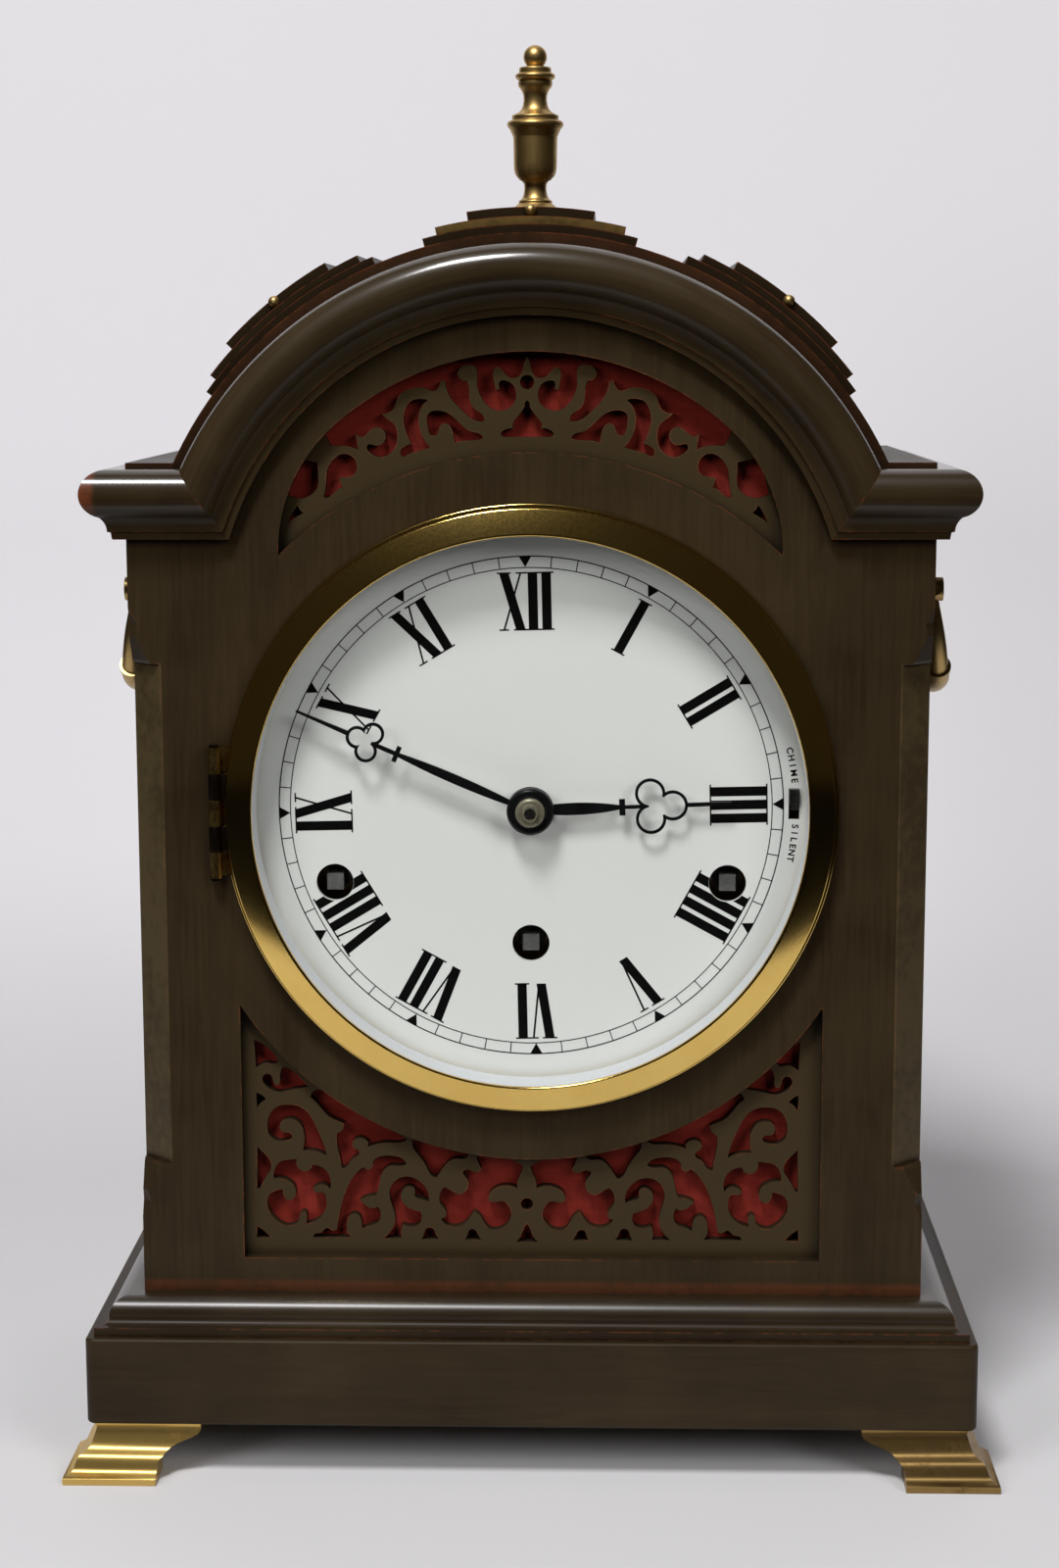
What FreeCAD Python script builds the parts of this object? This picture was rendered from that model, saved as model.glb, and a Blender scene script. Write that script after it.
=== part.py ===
import FreeCAD, Part
import math
import os

import Sketcher

# Break-arch bracket clock. Millimetres; origin under the middle of the feet, +X to the viewer's right,
# +Y towards the back, +Z up. The front looks along -Y.

# Driving dimensions: lengths in millimetres, *_angle in degrees, *_share and *_shares without unit.
SIZES = {
    # Base
    "foot_height": 15.0,
    "block_width": 240.0,
    "block_depth": 146.0,
    "block_height": 24.0,
    "block_corner": 2.5,
    "block_edge": 1.0,
    "plinth_height": 9.0,
    "plinth_reach": 12.0,
    # Case
    "case_width": 211.4,
    "case_setback": 14.3,
    "case_rear_setback": 3.4,
    "case_height": 214.0,
    "front_thickness": 14.0,
    "side_thickness": 12.0,
    "back_thickness": 10.0,
    "floor_thickness": 6.0,
    "cant_leg": 8.0,
    "cant_bottom": 44.9,
    "cant_top": 181.0,
    "cant_stop": 15.0,
    "door_inset": 21.7,
    "door_drop": 2.5,
    "door_foot": 14.0,
    "door_gap": 0.6,
    "door_thickness": 8.0,
    # Hood
    "arch_drop": 24.5,
    "arch_inset": 23.7,
    "cornice_height": 18.2,
    "cornice_reach": 10.0,
    "shoulder_thickness": 6.7,
    "shoulder_inset": 0.2,
    "shoulder_proud": 1.5,
    "roof_inset": 2.8,
    "roof_thickness": 6.0,
    "pad_layer": 2.5,
    "pad_setback": 7.7,
    "pad_step": 4.0,
    "stud_ball": 1.6,
    "finial_height": 46.2,
    "finial_radius": 7.85,
    # Feet
    "foot_reach": 5.8,
    "foot_wall": 7.0,
    "foot_length": 30.7,
    "foot_toe": 19.3,
    "foot_plate": 2.0,
    "foot_plate_width": 22.0,
    # Dial, bezel and hands
    "dial_rise": 141.8,
    "dial_radius": 76.5,
    "dial_thickness": 1.5,
    "dial_recess": 5.7,
    "dial_hole": 5.0,
    "aperture_gap": 0.5,
    "bezel_overlap": 5.0,
    "bezel_lip": 1.2,
    "sight_inset": 4.3,
    "throat_bevel": 1.2,
    "bezel_rise": 7.8,
    "bezel_flange": 1.8,
    "bezel_spigot": 3.4,
    "bezel_wall": 1.7,
    "glass_thickness": 1.5,
    "knuckle_radius": 1.6,
    "knuckle_length": 7.0,
    "hinge_pin": 0.8,
    "hinge_clearance": 1.9,
    "leaf_thickness": 1.2,
    "leaf_width": 9.4,
    "hand_thickness": 0.8,
    "hand_gap": 1.1,
    "minute_inset": 9.0,
    "hour_inset": 23.1,
    "hub_radius": 6.3,
    "hub_lap": 0.9,
    "nut_radius": 3.9,
    "centre_arbor": 1.5,
    "minute_angle": 293.4,
    "hour_angle": 87.8,
    "time_hole_drop": 36.7,
    "side_hole_inset": 23.9,
    "side_hole_drop": 20.2,
    "lever_inset": 6.4,
    "lever_slot_width": 2.9,
    "lever_slot_height": 8.4,
    "lever_slot_rise": 1.4,
    "lever_height": 4.1,
    "lever_proud": 1.4,
    "lever_foot": 1.0,
    "lever_foot_spread": 1.6,
    # Movement
    "plate_gap": 12.5,
    "plate_thickness": 2.5,
    "plate_spacing": 57.5,
    "plate_overlap": 5.5,
    "plate_foot_margin": 4.9,
    "plate_rise": 57.2,
    "pillar_radius": 3.5,
    "pillar_inset": 9.0,
    "dial_foot_radius": 2.5,
    "dial_foot_inset": 22.5,
    "barrel_length": 24.0,
    "barrel_offset": 8.0,
    "barrel_clearance": 0.36,
    "great_wheel_rim": 1.2,
    "great_wheel_thickness": 2.0,
    "arbor_radius": 4.0,
    "arbor_square": 4.4,
    "square_recess": 1.0,
    "seat_thickness": 12.0,
    "cleat_width": 10.0,
    "cleat_height": 14.0,
    "gear_module": 0.6,
    "gear_thickness": 1.5,
    "pinion_length": 3.0,
    "cannon_radius": 2.2,
    "hour_pipe_radius": 3.1,
    "motion_stud_radius": 1.0,
    "hour_hand_gap": 2.7,
    "hub_depth": 1.4,
    "nut_depth": 2.4,
    # Handles
    "handle_drop": 27.2,
    "handle_lean": 3.2,
    "handle_half_span": 26.0,
    "handle_level": 198.6,
    "handle_offset": 2.9,
    "handle_wire": 1.5,
    "handle_grip": 4.4,
    "post_radius": 3.2,
    "post_wall": 2.3,
    "rose_radius": 8.0,
    "rose_thickness": 1.0,
    # Back door furniture
    "back_knuckle": 2.0,
    "back_knuckle_length": 8.0,
    "back_hinge_rise": 40.0,
    "back_leaf_width": 9.0,
    "knob_radius": 6.0,
    "knob_depth": 7.5,
    "knob_shank": 2.5,
    # Frets
    "fret_thickness": 3.0,
    "fret_recess": 3.5,
    "fret_rebate": 4.0,
    "cloth_thickness": 0.6,
    "lower_fret_shift": 1.2,
    "upper_fret_shift": 0.7,
    "lower_fret_half": 78.1,
    "lower_fret_rise": 18.4,
    "fret_arc_spread": 14.9,
    "fret_arc_drop": 2.3,
    "upper_fret_half": 65.9,
    "upper_fret_crown": 52.6,
    "upper_fret_arc": 94.6,
    # Fits
    "joint_gap": 0.1,
    "running_gap": 0.06,
    "overrun": 5.0,
}

document = FreeCAD.newDocument("MantelClock")
sheet = document.addObject("Spreadsheet::Sheet", "Sizes")
for row, (alias, value) in enumerate(SIZES.items(), start=1):
    sheet.set(f"A{row}", alias)
    sheet.set(f"B{row}", str(value))
    sheet.setAlias(f"B{row}", alias)
document.recompute()


class Size:
    """A number together with the spreadsheet formula that it comes from."""

    def __init__(self, value, formula=None):
        self.value = float(value)
        self.formula = formula or repr(float(value))

    def __float__(self):
        return self.value

    def __neg__(self):
        return Size(-self.value, f"(-{self.formula})")

    def __add__(self, other):
        other = as_size(other)
        return Size(self.value + other.value, f"({self.formula} + {other.formula})")

    def __sub__(self, other):
        other = as_size(other)
        return Size(self.value - other.value, f"({self.formula} - {other.formula})")

    def __mul__(self, other):
        other = as_size(other)
        return Size(self.value * other.value, f"({self.formula} * {other.formula})")

    def __truediv__(self, other):
        other = as_size(other)
        return Size(self.value / other.value, f"({self.formula} / {other.formula})")

    def __radd__(self, other):
        return as_size(other) + self

    def __rsub__(self, other):
        return as_size(other) - self

    def __rmul__(self, other):
        return as_size(other) * self


def as_size(item):
    return item if isinstance(item, Size) else Size(item)


def size(alias):
    return Size(getattr(sheet, alias), f"Sizes.{alias}")


def root(item):
    return Size(math.sqrt(item.value), f"sqrt({item.formula})")


def leg(long_side, short_side):
    """The other short side of a right triangle."""
    return root(long_side * long_side - short_side * short_side)


def vector(x=0, y=0, z=0):
    return FreeCAD.Vector(float(x), float(y), float(z))


nodes = {}


def node(name, feature):
    """Registers a finished sub-part: its Label names its file."""
    feature.Label = name
    nodes[name] = feature
    return feature


def place(feature, x=0, y=0, z=0, rotation=None):
    feature.Placement = FreeCAD.Placement(vector(x, y, z), rotation or FreeCAD.Rotation())
    for axis, position in zip("xyz", (x, y, z)):
        feature.setExpression(f"Placement.Base.{axis}", as_size(position).formula)
    return feature


def box(name, length, width, height, x=0, y=0, z=0):
    feature = document.addObject("Part::Box", name)
    for side, item in (("Length", length), ("Width", width), ("Height", height)):
        feature.setExpression(side, as_size(item).formula)
    return place(feature, x, y, z)


AXES = {
    "X": FreeCAD.Rotation(FreeCAD.Vector(0, 1, 0), 90),
    "Y": FreeCAD.Rotation(FreeCAD.Vector(1, 0, 0), -90),
    "Z": FreeCAD.Rotation(),
}


def cylinder(name, radius, height, x=0, y=0, z=0, axis="Z"):
    feature = document.addObject("Part::Cylinder", name)
    feature.setExpression("Radius", as_size(radius).formula)
    feature.setExpression("Height", as_size(height).formula)
    return place(feature, x, y, z, AXES[axis])


def cut(name, base, *tools):
    feature = document.addObject("Part::Cut", name)
    feature.Base = base
    feature.Tool = tools[0] if len(tools) == 1 else fuse(f"{name}_tools", *tools)
    return feature


def fuse(name, *parts):
    feature = document.addObject("Part::MultiFuse", name)
    feature.Shapes = list(parts)
    return feature


def common(name, *parts):
    feature = document.addObject("Part::MultiCommon", name)
    feature.Shapes = list(parts)
    return feature


def group(name, *parts):
    feature = document.addObject("Part::Compound", name)
    feature.Links = list(parts)
    return feature


def shaped(name, shape, x=0, y=0, z=0):
    feature = document.addObject("Part::Feature", name)
    feature.Shape = shape
    return place(feature, x, y, z)


def new_body(name):
    return document.addObject("PartDesign::Body", name)


def arc_edge(start, end, radius):
    """Arc of less than half a turn; a positive radius turns left on the way from start to end."""
    chord = end - start
    half = chord.Length / 2
    rise = math.sqrt(max(radius * radius - half * half, 0.0))
    left = FreeCAD.Vector(-chord.y, chord.x, 0).normalize()
    centre = (start + end) / 2 + left * (rise if radius > 0 else -rise)
    first, last = (start, end) if radius > 0 else (end, start)
    begin = math.atan2(first.y - centre.y, first.x - centre.x)
    finish = math.atan2(last.y - centre.y, last.x - centre.x)
    circle = Part.Circle(centre, FreeCAD.Vector(0, 0, 1), abs(radius))
    return Part.ArcOfCircle(circle, begin, finish)


def sketch(body, plane, loops, offset=0):
    """Sketch on one of the body's own origin planes.

    A loop is a list of points (x, y), or (x, y, radius) where an arc leads to the next point, or a
    dictionary with x, y and radius for a circle. Every point and radius is bound to the sheet.
    """
    drawing = body.newObject("Sketcher::SketchObject", f"{body.Name}_sketch")
    support = next(item for item in body.Origin.OriginFeatures if item.Role == plane)
    drawing.AttachmentSupport = [(support, "")]
    drawing.MapMode = "FlatFace"
    drawing.setExpression("AttachmentOffset.Base.z", as_size(offset).formula)
    bound = []
    for loop in loops:
        if isinstance(loop, dict):
            centre = vector(loop["x"], loop["y"])
            circle = Part.Circle(centre, FreeCAD.Vector(0, 0, 1), float(loop["radius"]))
            index = drawing.addGeometry(circle, False)
            bound.append(("DistanceX", (-1, 1, index, 3), loop["x"]))
            bound.append(("DistanceY", (-1, 1, index, 3), loop["y"]))
            bound.append(("Radius", (index,), loop["radius"]))
            continue
        ends = []
        for here, there in zip(loop, loop[1:] + loop[:1]):
            start = vector(here[0], here[1])
            end = vector(there[0], there[1])
            if len(here) == 3:
                index = drawing.addGeometry(arc_edge(start, end, float(here[2])), False)
                bound.append(("Radius", (index,), as_size(here[2] if float(here[2]) > 0 else -here[2])))
                ends.append((index, 1, 2) if float(here[2]) > 0 else (index, 2, 1))
            else:
                index = drawing.addGeometry(Part.LineSegment(start, end), False)
                ends.append((index, 1, 2))
        for number, (here, (index, first, last)) in enumerate(zip(loop, ends)):
            before = ends[number - 1]
            drawing.addConstraint(Sketcher.Constraint("Coincident", before[0], before[2], index, first))
            bound.append(("DistanceX", (-1, 1, index, first), here[0]))
            bound.append(("DistanceY", (-1, 1, index, first), here[1]))
    for kind, places, item in bound:
        number = drawing.addConstraint(Sketcher.Constraint(kind, *places, float(item)))
        drawing.setExpression(f"Constraints[{number}]", as_size(item).formula)
    return drawing


def pad(name, plane, loops, length, offset=0, backwards=False, body=None):
    body = body or new_body(name)
    drawing = sketch(body, plane, loops, offset)
    feature = body.newObject("PartDesign::Pad", f"{body.Name}_pad")
    feature.Profile = drawing
    feature.setExpression("Length", as_size(length).formula)
    feature.Reversed = backwards
    return body


def board(name, loops, front, thickness, body=None):
    """A board parallel to the front: its outline in X and Z, its front face at y = front."""
    return pad(name, "XZ_Plane", loops, thickness, -as_size(front), backwards=True, body=body)


def turned(name, loop, plane="XZ_Plane", x=0, y=0, z=0):
    """A piece turned about the sketch's upright axis: Z on XZ_Plane, Y on XY_Plane."""
    body = new_body(name)
    drawing = sketch(body, plane, [loop])
    feature = body.newObject("PartDesign::Revolution", f"{body.Name}_turn")
    feature.Profile = drawing
    feature.ReferenceAxis = (drawing, ["V_Axis"])
    feature.Angle = 360
    return place(body, x, y, z)


def mitred(name, path, profile_plane, profile, offset):
    """A moulding swept along a horizontal path with mitred corners."""
    body = new_body(name)
    spine = body.newObject("Sketcher::SketchObject", f"{name}_path")
    support = next(item for item in body.Origin.OriginFeatures if item.Role == "XY_Plane")
    spine.AttachmentSupport = [(support, "")]
    spine.MapMode = "FlatFace"
    for start, end in zip(path, path[1:]):
        spine.addGeometry(Part.LineSegment(vector(*start), vector(*end)), False)
    for number, (x, y) in enumerate(path):
        edge, vertex = (number, 1) if number < len(path) - 1 else (number - 1, 2)
        if 0 < number < len(path) - 1:
            spine.addConstraint(Sketcher.Constraint("Coincident", number - 1, 2, number, 1))
        for kind, item in (("DistanceX", x), ("DistanceY", y)):
            index = spine.addConstraint(Sketcher.Constraint(kind, -1, 1, edge, vertex, float(item)))
            spine.setExpression(f"Constraints[{index}]", as_size(item).formula)
    drawing = sketch(body, profile_plane, [profile], offset)
    document.recompute()
    feature = body.newObject("PartDesign::AdditivePipe", f"{name}_pipe")
    feature.Profile = drawing
    feature.Spine = (spine, [])
    feature.Transition = "Right corner"
    return body


# Levels and planes that the sub-parts share
overrun = size("overrun")
gap = size("joint_gap")
block_bottom = size("foot_height")
block_top = block_bottom + size("block_height")
block_half = size("block_width") / 2
block_front = -size("block_depth") / 2
case_half = size("case_width") / 2
case_front = block_front + size("case_setback")
case_back = size("block_depth") / 2 - size("case_rear_setback")
cornice_foot = block_top + size("case_height")
cornice_top = cornice_foot + size("cornice_height")
arch_level = cornice_foot - size("arch_drop")
shoulder_top = cornice_top + size("shoulder_proud")
shoulder_foot = shoulder_top - size("shoulder_thickness")
roof_outer = case_half - size("roof_inset")
door_half = case_half - size("door_inset")
roof_inner = roof_outer - size("roof_thickness")
board_back = case_front + size("front_thickness")
frame_front = case_back - size("back_thickness")
dial_level = block_top + size("dial_rise")
dial_front = case_front + size("dial_recess")
dial_back = dial_front + size("dial_thickness")
dial_radius = size("dial_radius")
bezel_outer = dial_radius + size("bezel_overlap")
hinge_offset = bezel_outer + size("hinge_clearance")


# Base block: one thick board with softened corners and edges
def make_base_block():
    body = pad("base_block", "XY_Plane", [[
        (-block_half, block_front),
        (block_half, block_front),
        (block_half, -block_front),
        (-block_half, -block_front),
    ]], size("block_height"), block_bottom)
    document.recompute()
    block = body.Tip
    upright = [f"Edge{index}" for index, edge in enumerate(block.Shape.Edges, start=1)
               if abs(edge.tangentAt(edge.FirstParameter).z) > 0.9]
    corners = body.newObject("PartDesign::Fillet", "block_corners")
    corners.Base = (block, upright)
    corners.setExpression("Radius", size("block_corner").formula)
    document.recompute()
    level = [f"Edge{index}" for index, edge in enumerate(corners.Shape.Edges, start=1)
             if abs(edge.Vertexes[0].Z - edge.Vertexes[-1].Z) < float(gap)]
    edges = body.newObject("PartDesign::Fillet", "block_edges")
    edges.Base = (corners, level)
    edges.setExpression("Radius", size("block_edge").formula)
    node("base_block", body)


# Plinth moulding: fillet, small cove and broad round nose, mitred round the front and both sides.
# Each point is (reach share, height share, arc radius as a share of the height or None).
PLINTH_SHARES = [
    (1.0, 0.0, None),
    (1.0, 0.27, None),
    (0.82, 0.27, -0.22),
    (0.7, 0.42, None),
    (0.7, 0.46, 0.51),
    (0.3, 1.0, None),
    (0.0, 1.0, None),
    (0.0, 0.0, None),
]


def profile_points(shares, inner, foot, reach, height):
    """The outline of a moulding from its shares, outwards from x = inner and up from z = foot."""
    points = []
    for out_share, up_share, arc_share in shares:
        point = (inner + reach * out_share, foot + height * up_share)
        if arc_share:
            point += (height * arc_share,)
        points.append(point)
    return points


def make_base_moulding():
    path = [
        (case_half, case_back),
        (case_half, case_front),
        (-case_half, case_front),
        (-case_half, case_back),
    ]
    profile = profile_points(PLINTH_SHARES, case_half, block_top, size("plinth_reach"), size("plinth_height"))
    node("base_moulding", mitred("base_moulding", path, "XZ_Plane", profile, -case_back))


# Outline of the front and back boards: straight sides to the shoulders, then the arch
def case_outline(foot):
    radius = roof_inner - gap
    return [
        (-case_half, foot),
        (case_half, foot),
        (case_half, shoulder_foot - gap),
        (leg(radius, shoulder_foot - gap - arch_level), shoulder_foot - gap, radius),
        (0, arch_level + radius, radius),
        (-leg(radius, shoulder_foot - gap - arch_level), shoulder_foot - gap),
        (-case_half, shoulder_foot - gap),
    ]


# The lower fret opening: square at the bottom, hollowed at the top round the dial
lower_fret_foot = block_top + size("lower_fret_rise")


def lower_fret_outline(margin=0):
    half = size("lower_fret_half") + margin
    radius = size("lower_fret_half") + size("fret_arc_spread") - margin
    centre = dial_level - size("fret_arc_drop")
    foot = lower_fret_foot - margin
    return [
        (-half, foot),
        (half, foot),
        (half, centre - leg(radius, half), -radius),
        (0, centre - radius, -radius),
        (-half, centre - leg(radius, half)),
    ]


# The upper fret opening: a crescent between the arch and the dial
# Place of the knee between the flat and the steep arc, and both radii, as shares of the tip's distance
KNEE_SHARES = (0.76, 0.524)
CROWN_SHARE = 1.18
FLANK_SHARE = 0.672


def upper_fret_outline(margin=0):
    """A basket arch of three arcs over an arc round the dial."""
    half = size("upper_fret_half")
    inner = size("upper_fret_arc") - margin
    tip_level = dial_level + leg(size("upper_fret_arc"), half)
    crown = tip_level + size("upper_fret_crown") + margin
    crown_radius = half * CROWN_SHARE + margin
    flank_radius = half * FLANK_SHARE + margin
    knee = half * KNEE_SHARES[0] + margin * KNEE_SHARES[0]
    knee_level = crown - crown_radius + leg(crown_radius, knee)
    return [
        (-half - margin, dial_level + leg(inner, half + margin), -inner),
        (0, dial_level + inner, -inner),
        (half + margin, dial_level + leg(inner, half + margin), flank_radius),
        (knee, knee_level, crown_radius),
        (0, crown, crown_radius),
        (-knee, knee_level, flank_radius),
    ]


def stop_cutter(name, side):
    """Takes off a front corner between two moulded stops; side is 1 on the right and -1 on the left."""
    depth = float(size("cant_leg")) / math.sqrt(2)
    bottom = float(block_top + size("cant_bottom"))
    top = float(block_top + size("cant_top"))
    stop = float(size("cant_stop"))
    far = float(size("cant_leg"))
    # Distance behind the corner, along the diagonal, against height
    stop_shares = [(0.0, 1.0), (0.28, 0.72), (0.28, 0.66), (0.2, 0.5), (0.62, 0.06), (0.74, 0.0), (1.0, 0.0)]
    line = [(depth * inward, bottom - stop * down) for inward, down in stop_shares]
    line += [(depth * inward, top + stop * up) for inward, up in reversed(stop_shares)]
    corner = vector(float(case_half) * side, case_front, 0)
    inwards = FreeCAD.Vector(-side, 1, 0).normalize()
    along = FreeCAD.Vector(side, 1, 0).normalize()
    points = [corner + inwards * inward + FreeCAD.Vector(0, 0, level) for inward, level in line]
    points = [corner - inwards * far + FreeCAD.Vector(0, 0, line[0][1])] + points
    points.append(corner - inwards * far + FreeCAD.Vector(0, 0, line[-1][1]))
    face = Part.Face(Part.makePolygon(points + points[:1]))
    face.translate(along * -far * 2)
    return shaped(name, face.extrude(along * far * 4))


# Front board: dial aperture, two fret openings with rebates behind, canted corners, hinge recess
def make_front_board():
    aperture = {"x": as_size(0), "y": dial_level, "radius": dial_radius + size("aperture_gap")}
    blank = board("front_blank", [case_outline(block_top), aperture, lower_fret_outline(),
                                  upper_fret_outline()], case_front, size("front_thickness"))
    recess_depth = case_front + size("fret_recess")
    rebates = [
        board(f"{name}_rebate", [outline], recess_depth, size("front_thickness"))
        for name, outline in (("lower", lower_fret_outline(size("fret_rebate"))),
                              ("upper", upper_fret_outline(size("fret_rebate"))))
    ]
    leaf_height = size("knuckle_length") * 5
    recess = box("hinge_recess", size("leaf_width") + gap * 2, size("leaf_thickness") + gap + overrun,
                 leaf_height + gap * 2, -hinge_offset - size("knuckle_radius") - gap,
                 case_front - overrun, dial_level - leaf_height / 2 - gap)
    node("front_board", cut("front_board", blank, *rebates, recess,
                            stop_cutter("left_stop", -1), stop_cutter("right_stop", 1)))


# Sides, floor and the frame that closes the back
def make_carcase():
    height = shoulder_foot - block_top
    for name, left in (("left_side", -case_half), ("right_side", case_half - size("side_thickness"))):
        node(name, box(name, size("side_thickness"), frame_front - board_back, height, left, board_back, block_top))
    inner = size("case_width") - size("side_thickness") * 2
    node("case_floor", box("case_floor", inner, frame_front - board_back, size("floor_thickness"),
                           -inner / 2, board_back, block_top))


# Back frame with an arched door opening, and the door that fills it
def door_outline(margin):
    """The door's shape: square at the foot, an arch at the top; margin is positive outwards."""
    half = door_half + margin
    radius = half + size("door_drop")
    springing = arch_level + leg(radius, half)
    return [
        (-half, block_top + size("door_foot") - margin),
        (half, block_top + size("door_foot") - margin),
        (half, springing, radius),
        (0, arch_level + radius, radius),
        (-half, springing),
    ]


def make_back():
    node("back_frame", board("back_frame", [case_outline(block_top), door_outline(0)], frame_front,
                             size("back_thickness")))
    node("back_door", board("back_door", [door_outline(-size("door_gap"))],
                            case_back - size("door_thickness"), size("door_thickness")))


def mirrored(name, source, normal=(1, 0, 0)):
    feature = document.addObject("Part::Mirroring", name)
    feature.Source = source
    feature.Normal = normal
    return feature


# Roof: a bent board over the arch, standing on the case sides, with a shoulder board at each side
def make_roof():
    outer = roof_outer
    foot = shoulder_foot
    node("arch_roof", board("arch_roof", [[
        (leg(outer, foot - arch_level), foot, outer),
        (0, arch_level + outer, outer),
        (-leg(outer, foot - arch_level), foot),
        (-leg(roof_inner, foot - arch_level), foot, -roof_inner),
        (0, arch_level + roof_inner, -roof_inner),
        (leg(roof_inner, foot - arch_level), foot),
    ]], case_front, case_back - case_front))
    side = outer + gap
    end = case_half - size("shoulder_inset")
    right = board("right_shoulder", [[
        (leg(side, foot - arch_level), foot),
        (end, foot),
        (end, shoulder_top),
        (leg(side, shoulder_top - arch_level), shoulder_top, -side),
    ]], case_front, case_back - case_front)
    node("right_shoulder", right)
    node("left_shoulder", mirrored("left_shoulder", right))


# Cornice: small bead, cove and broad nose; it runs over the arch and along the shoulders.
# Each point is (reach share, height share, arc radius as a share of the height or None).
CORNICE_SHARES = [
    (0.0, 0.0, None),
    (0.31, 0.0, None),
    (0.34, 0.1, None),
    (0.42, 0.115, -0.28),
    (0.59, 0.32, 0.348),
    (0.45, 1.0, None),
    (0.0, 1.0, None),
]


def make_cornice():
    inner = case_half - size("arch_inset")
    rise = size("cornice_height")
    reach = size("cornice_reach")
    ring_profile = []
    for out_share, up_share, arc_share in CORNICE_SHARES:
        point = (inner + rise * up_share, -(reach * out_share))
        ring_profile.append(point + (rise * arc_share,) if arc_share else point)
    ring = turned("cornice_ring", ring_profile, "XY_Plane", 0, case_front, arch_level)
    # The mitre is the plane through the foot and the top of both runs
    low = leg(inner, size("arch_drop"))
    high = leg(inner + rise, size("arch_drop") + rise)
    lean = high - low
    wedge = board("cornice_wedge", [[
        (-(low - lean), cornice_foot - rise),
        (low - lean, cornice_foot - rise),
        (high + lean * 4, cornice_top + rise * 4),
        (-(high + lean * 4), cornice_top + rise * 4),
    ]], case_front - reach - overrun, reach + overrun * 2)
    node("cornice_arch", common("cornice_arch", ring, wedge))
    profile = []
    for out_share, up_share, arc_share in CORNICE_SHARES:
        point = (case_front - reach * out_share, cornice_foot + rise * up_share)
        profile.append(point + (-(rise * arc_share),) if arc_share else point)
    start = low - lean
    run = mitred("cornice_run", [(start, case_front), (case_half, case_front), (case_half, case_back)],
                 "YZ_Plane", profile, start)
    right = cut("cornice_right", run, wedge)
    node("cornice_right", right)
    node("cornice_left", mirrored("cornice_left", right))


# Roof pads: three stepped boards bent to the arch, at the crown and on both flanks
PAD_HALF_ANGLES = (15.4, 13.4, 8.8)
PAD_ANGLES = {"left_pad": -38.3, "centre_pad": 0.0, "right_pad": 38.3}
# How far each layer's top stands above the roof, as a share of one layer
PAD_TOP_SHARES = (1.0, 1.88, 2.88)


def make_pads():
    studs = []
    for name, angle in PAD_ANGLES.items():
        layers = []
        inner = roof_outer + gap
        for number, half_angle in enumerate(PAD_HALF_ANGLES):
            outer = roof_outer + size("pad_layer") * PAD_TOP_SHARES[number]
            across = math.sin(math.radians(half_angle))
            up = math.cos(math.radians(half_angle))
            front = case_front + size("pad_setback") + size("pad_step") * number
            depth = case_back - size("pad_setback") - size("pad_step") * number - front
            layers.append(board(f"{name}_layer{number}", [[
                (outer * across, outer * up, outer),
                (-(outer * across), outer * up),
                (-(inner * across), inner * up, -inner),
                (inner * across, inner * up),
            ]], front, depth))
        turn = FreeCAD.Rotation(FreeCAD.Vector(0, 1, 0), angle)
        for layer in layers:
            place(layer, 0, 0, arch_level, turn)
        node(name, fuse(name, *layers))
        ball = size("stud_ball")
        stud = turned(f"{name}_stud", [(0, 0), (0, -ball, ball), (ball, 0)], "XY_Plane")
        distance = roof_outer + size("pad_layer") * PAD_TOP_SHARES[1] + ball
        across = math.sin(math.radians(angle))
        up = math.cos(math.radians(angle))
        place(stud, distance * across, case_front + size("pad_setback") + size("pad_step") * 2,
              arch_level + distance * up)
        studs.append(stud)
    node("pad_studs", group("pad_studs", *studs))


# Finial: a turned urn on a foot, with a collar, a waist and a ball.
# Each point is (radius share, height share, arc radius as a share of the height or None).
FINIAL_SHARES = [
    (0.0, 0.0, None),
    (0.94, 0.0, None),
    (0.94, 0.05, -0.11),
    (0.56, 0.098, None),
    (0.58, 0.107, 0.012),
    (0.58, 0.124, None),
    (0.42, 0.148, None),
    (0.42, 0.227, None),
    (0.48, 0.236, 0.16),
    (0.75, 0.321, None),
    (0.75, 0.485, None),
    (0.84, 0.535, None),
    (0.98, 0.544, 0.03),
    (1.0, 0.587, None),
    (0.78, 0.612, -0.14),
    (0.42, 0.664, None),
    (0.42, 0.725, -0.1),
    (0.59, 0.762, None),
    (0.59, 0.801, None),
    (0.69, 0.81, 0.02),
    (0.69, 0.845, None),
    (0.56, 0.849, None),
    (0.56, 0.874, None),
    (0.31, 0.878, None),
]


def make_finial():
    tall = size("finial_height")
    wide = size("finial_radius")
    ball = tall * 0.07
    neck = wide * FINIAL_SHARES[-1][0]
    profile = []
    for wide_share, tall_share, arc_share in FINIAL_SHARES:
        point = (wide * wide_share, tall * tall_share)
        profile.append(point + (tall * arc_share,) if arc_share else point)
    # The ball meets the neck where its own circle is as wide as the neck
    centre = tall - ball
    profile.append((neck, centre - leg(ball, neck), ball))
    profile.append((ball, centre, ball))
    profile.append((0, tall))
    top = arch_level + roof_outer + size("pad_layer") * PAD_TOP_SHARES[-1]
    node("finial", turned("finial", profile, "XZ_Plane", 0, (case_front + case_back) / 2, top))


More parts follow.
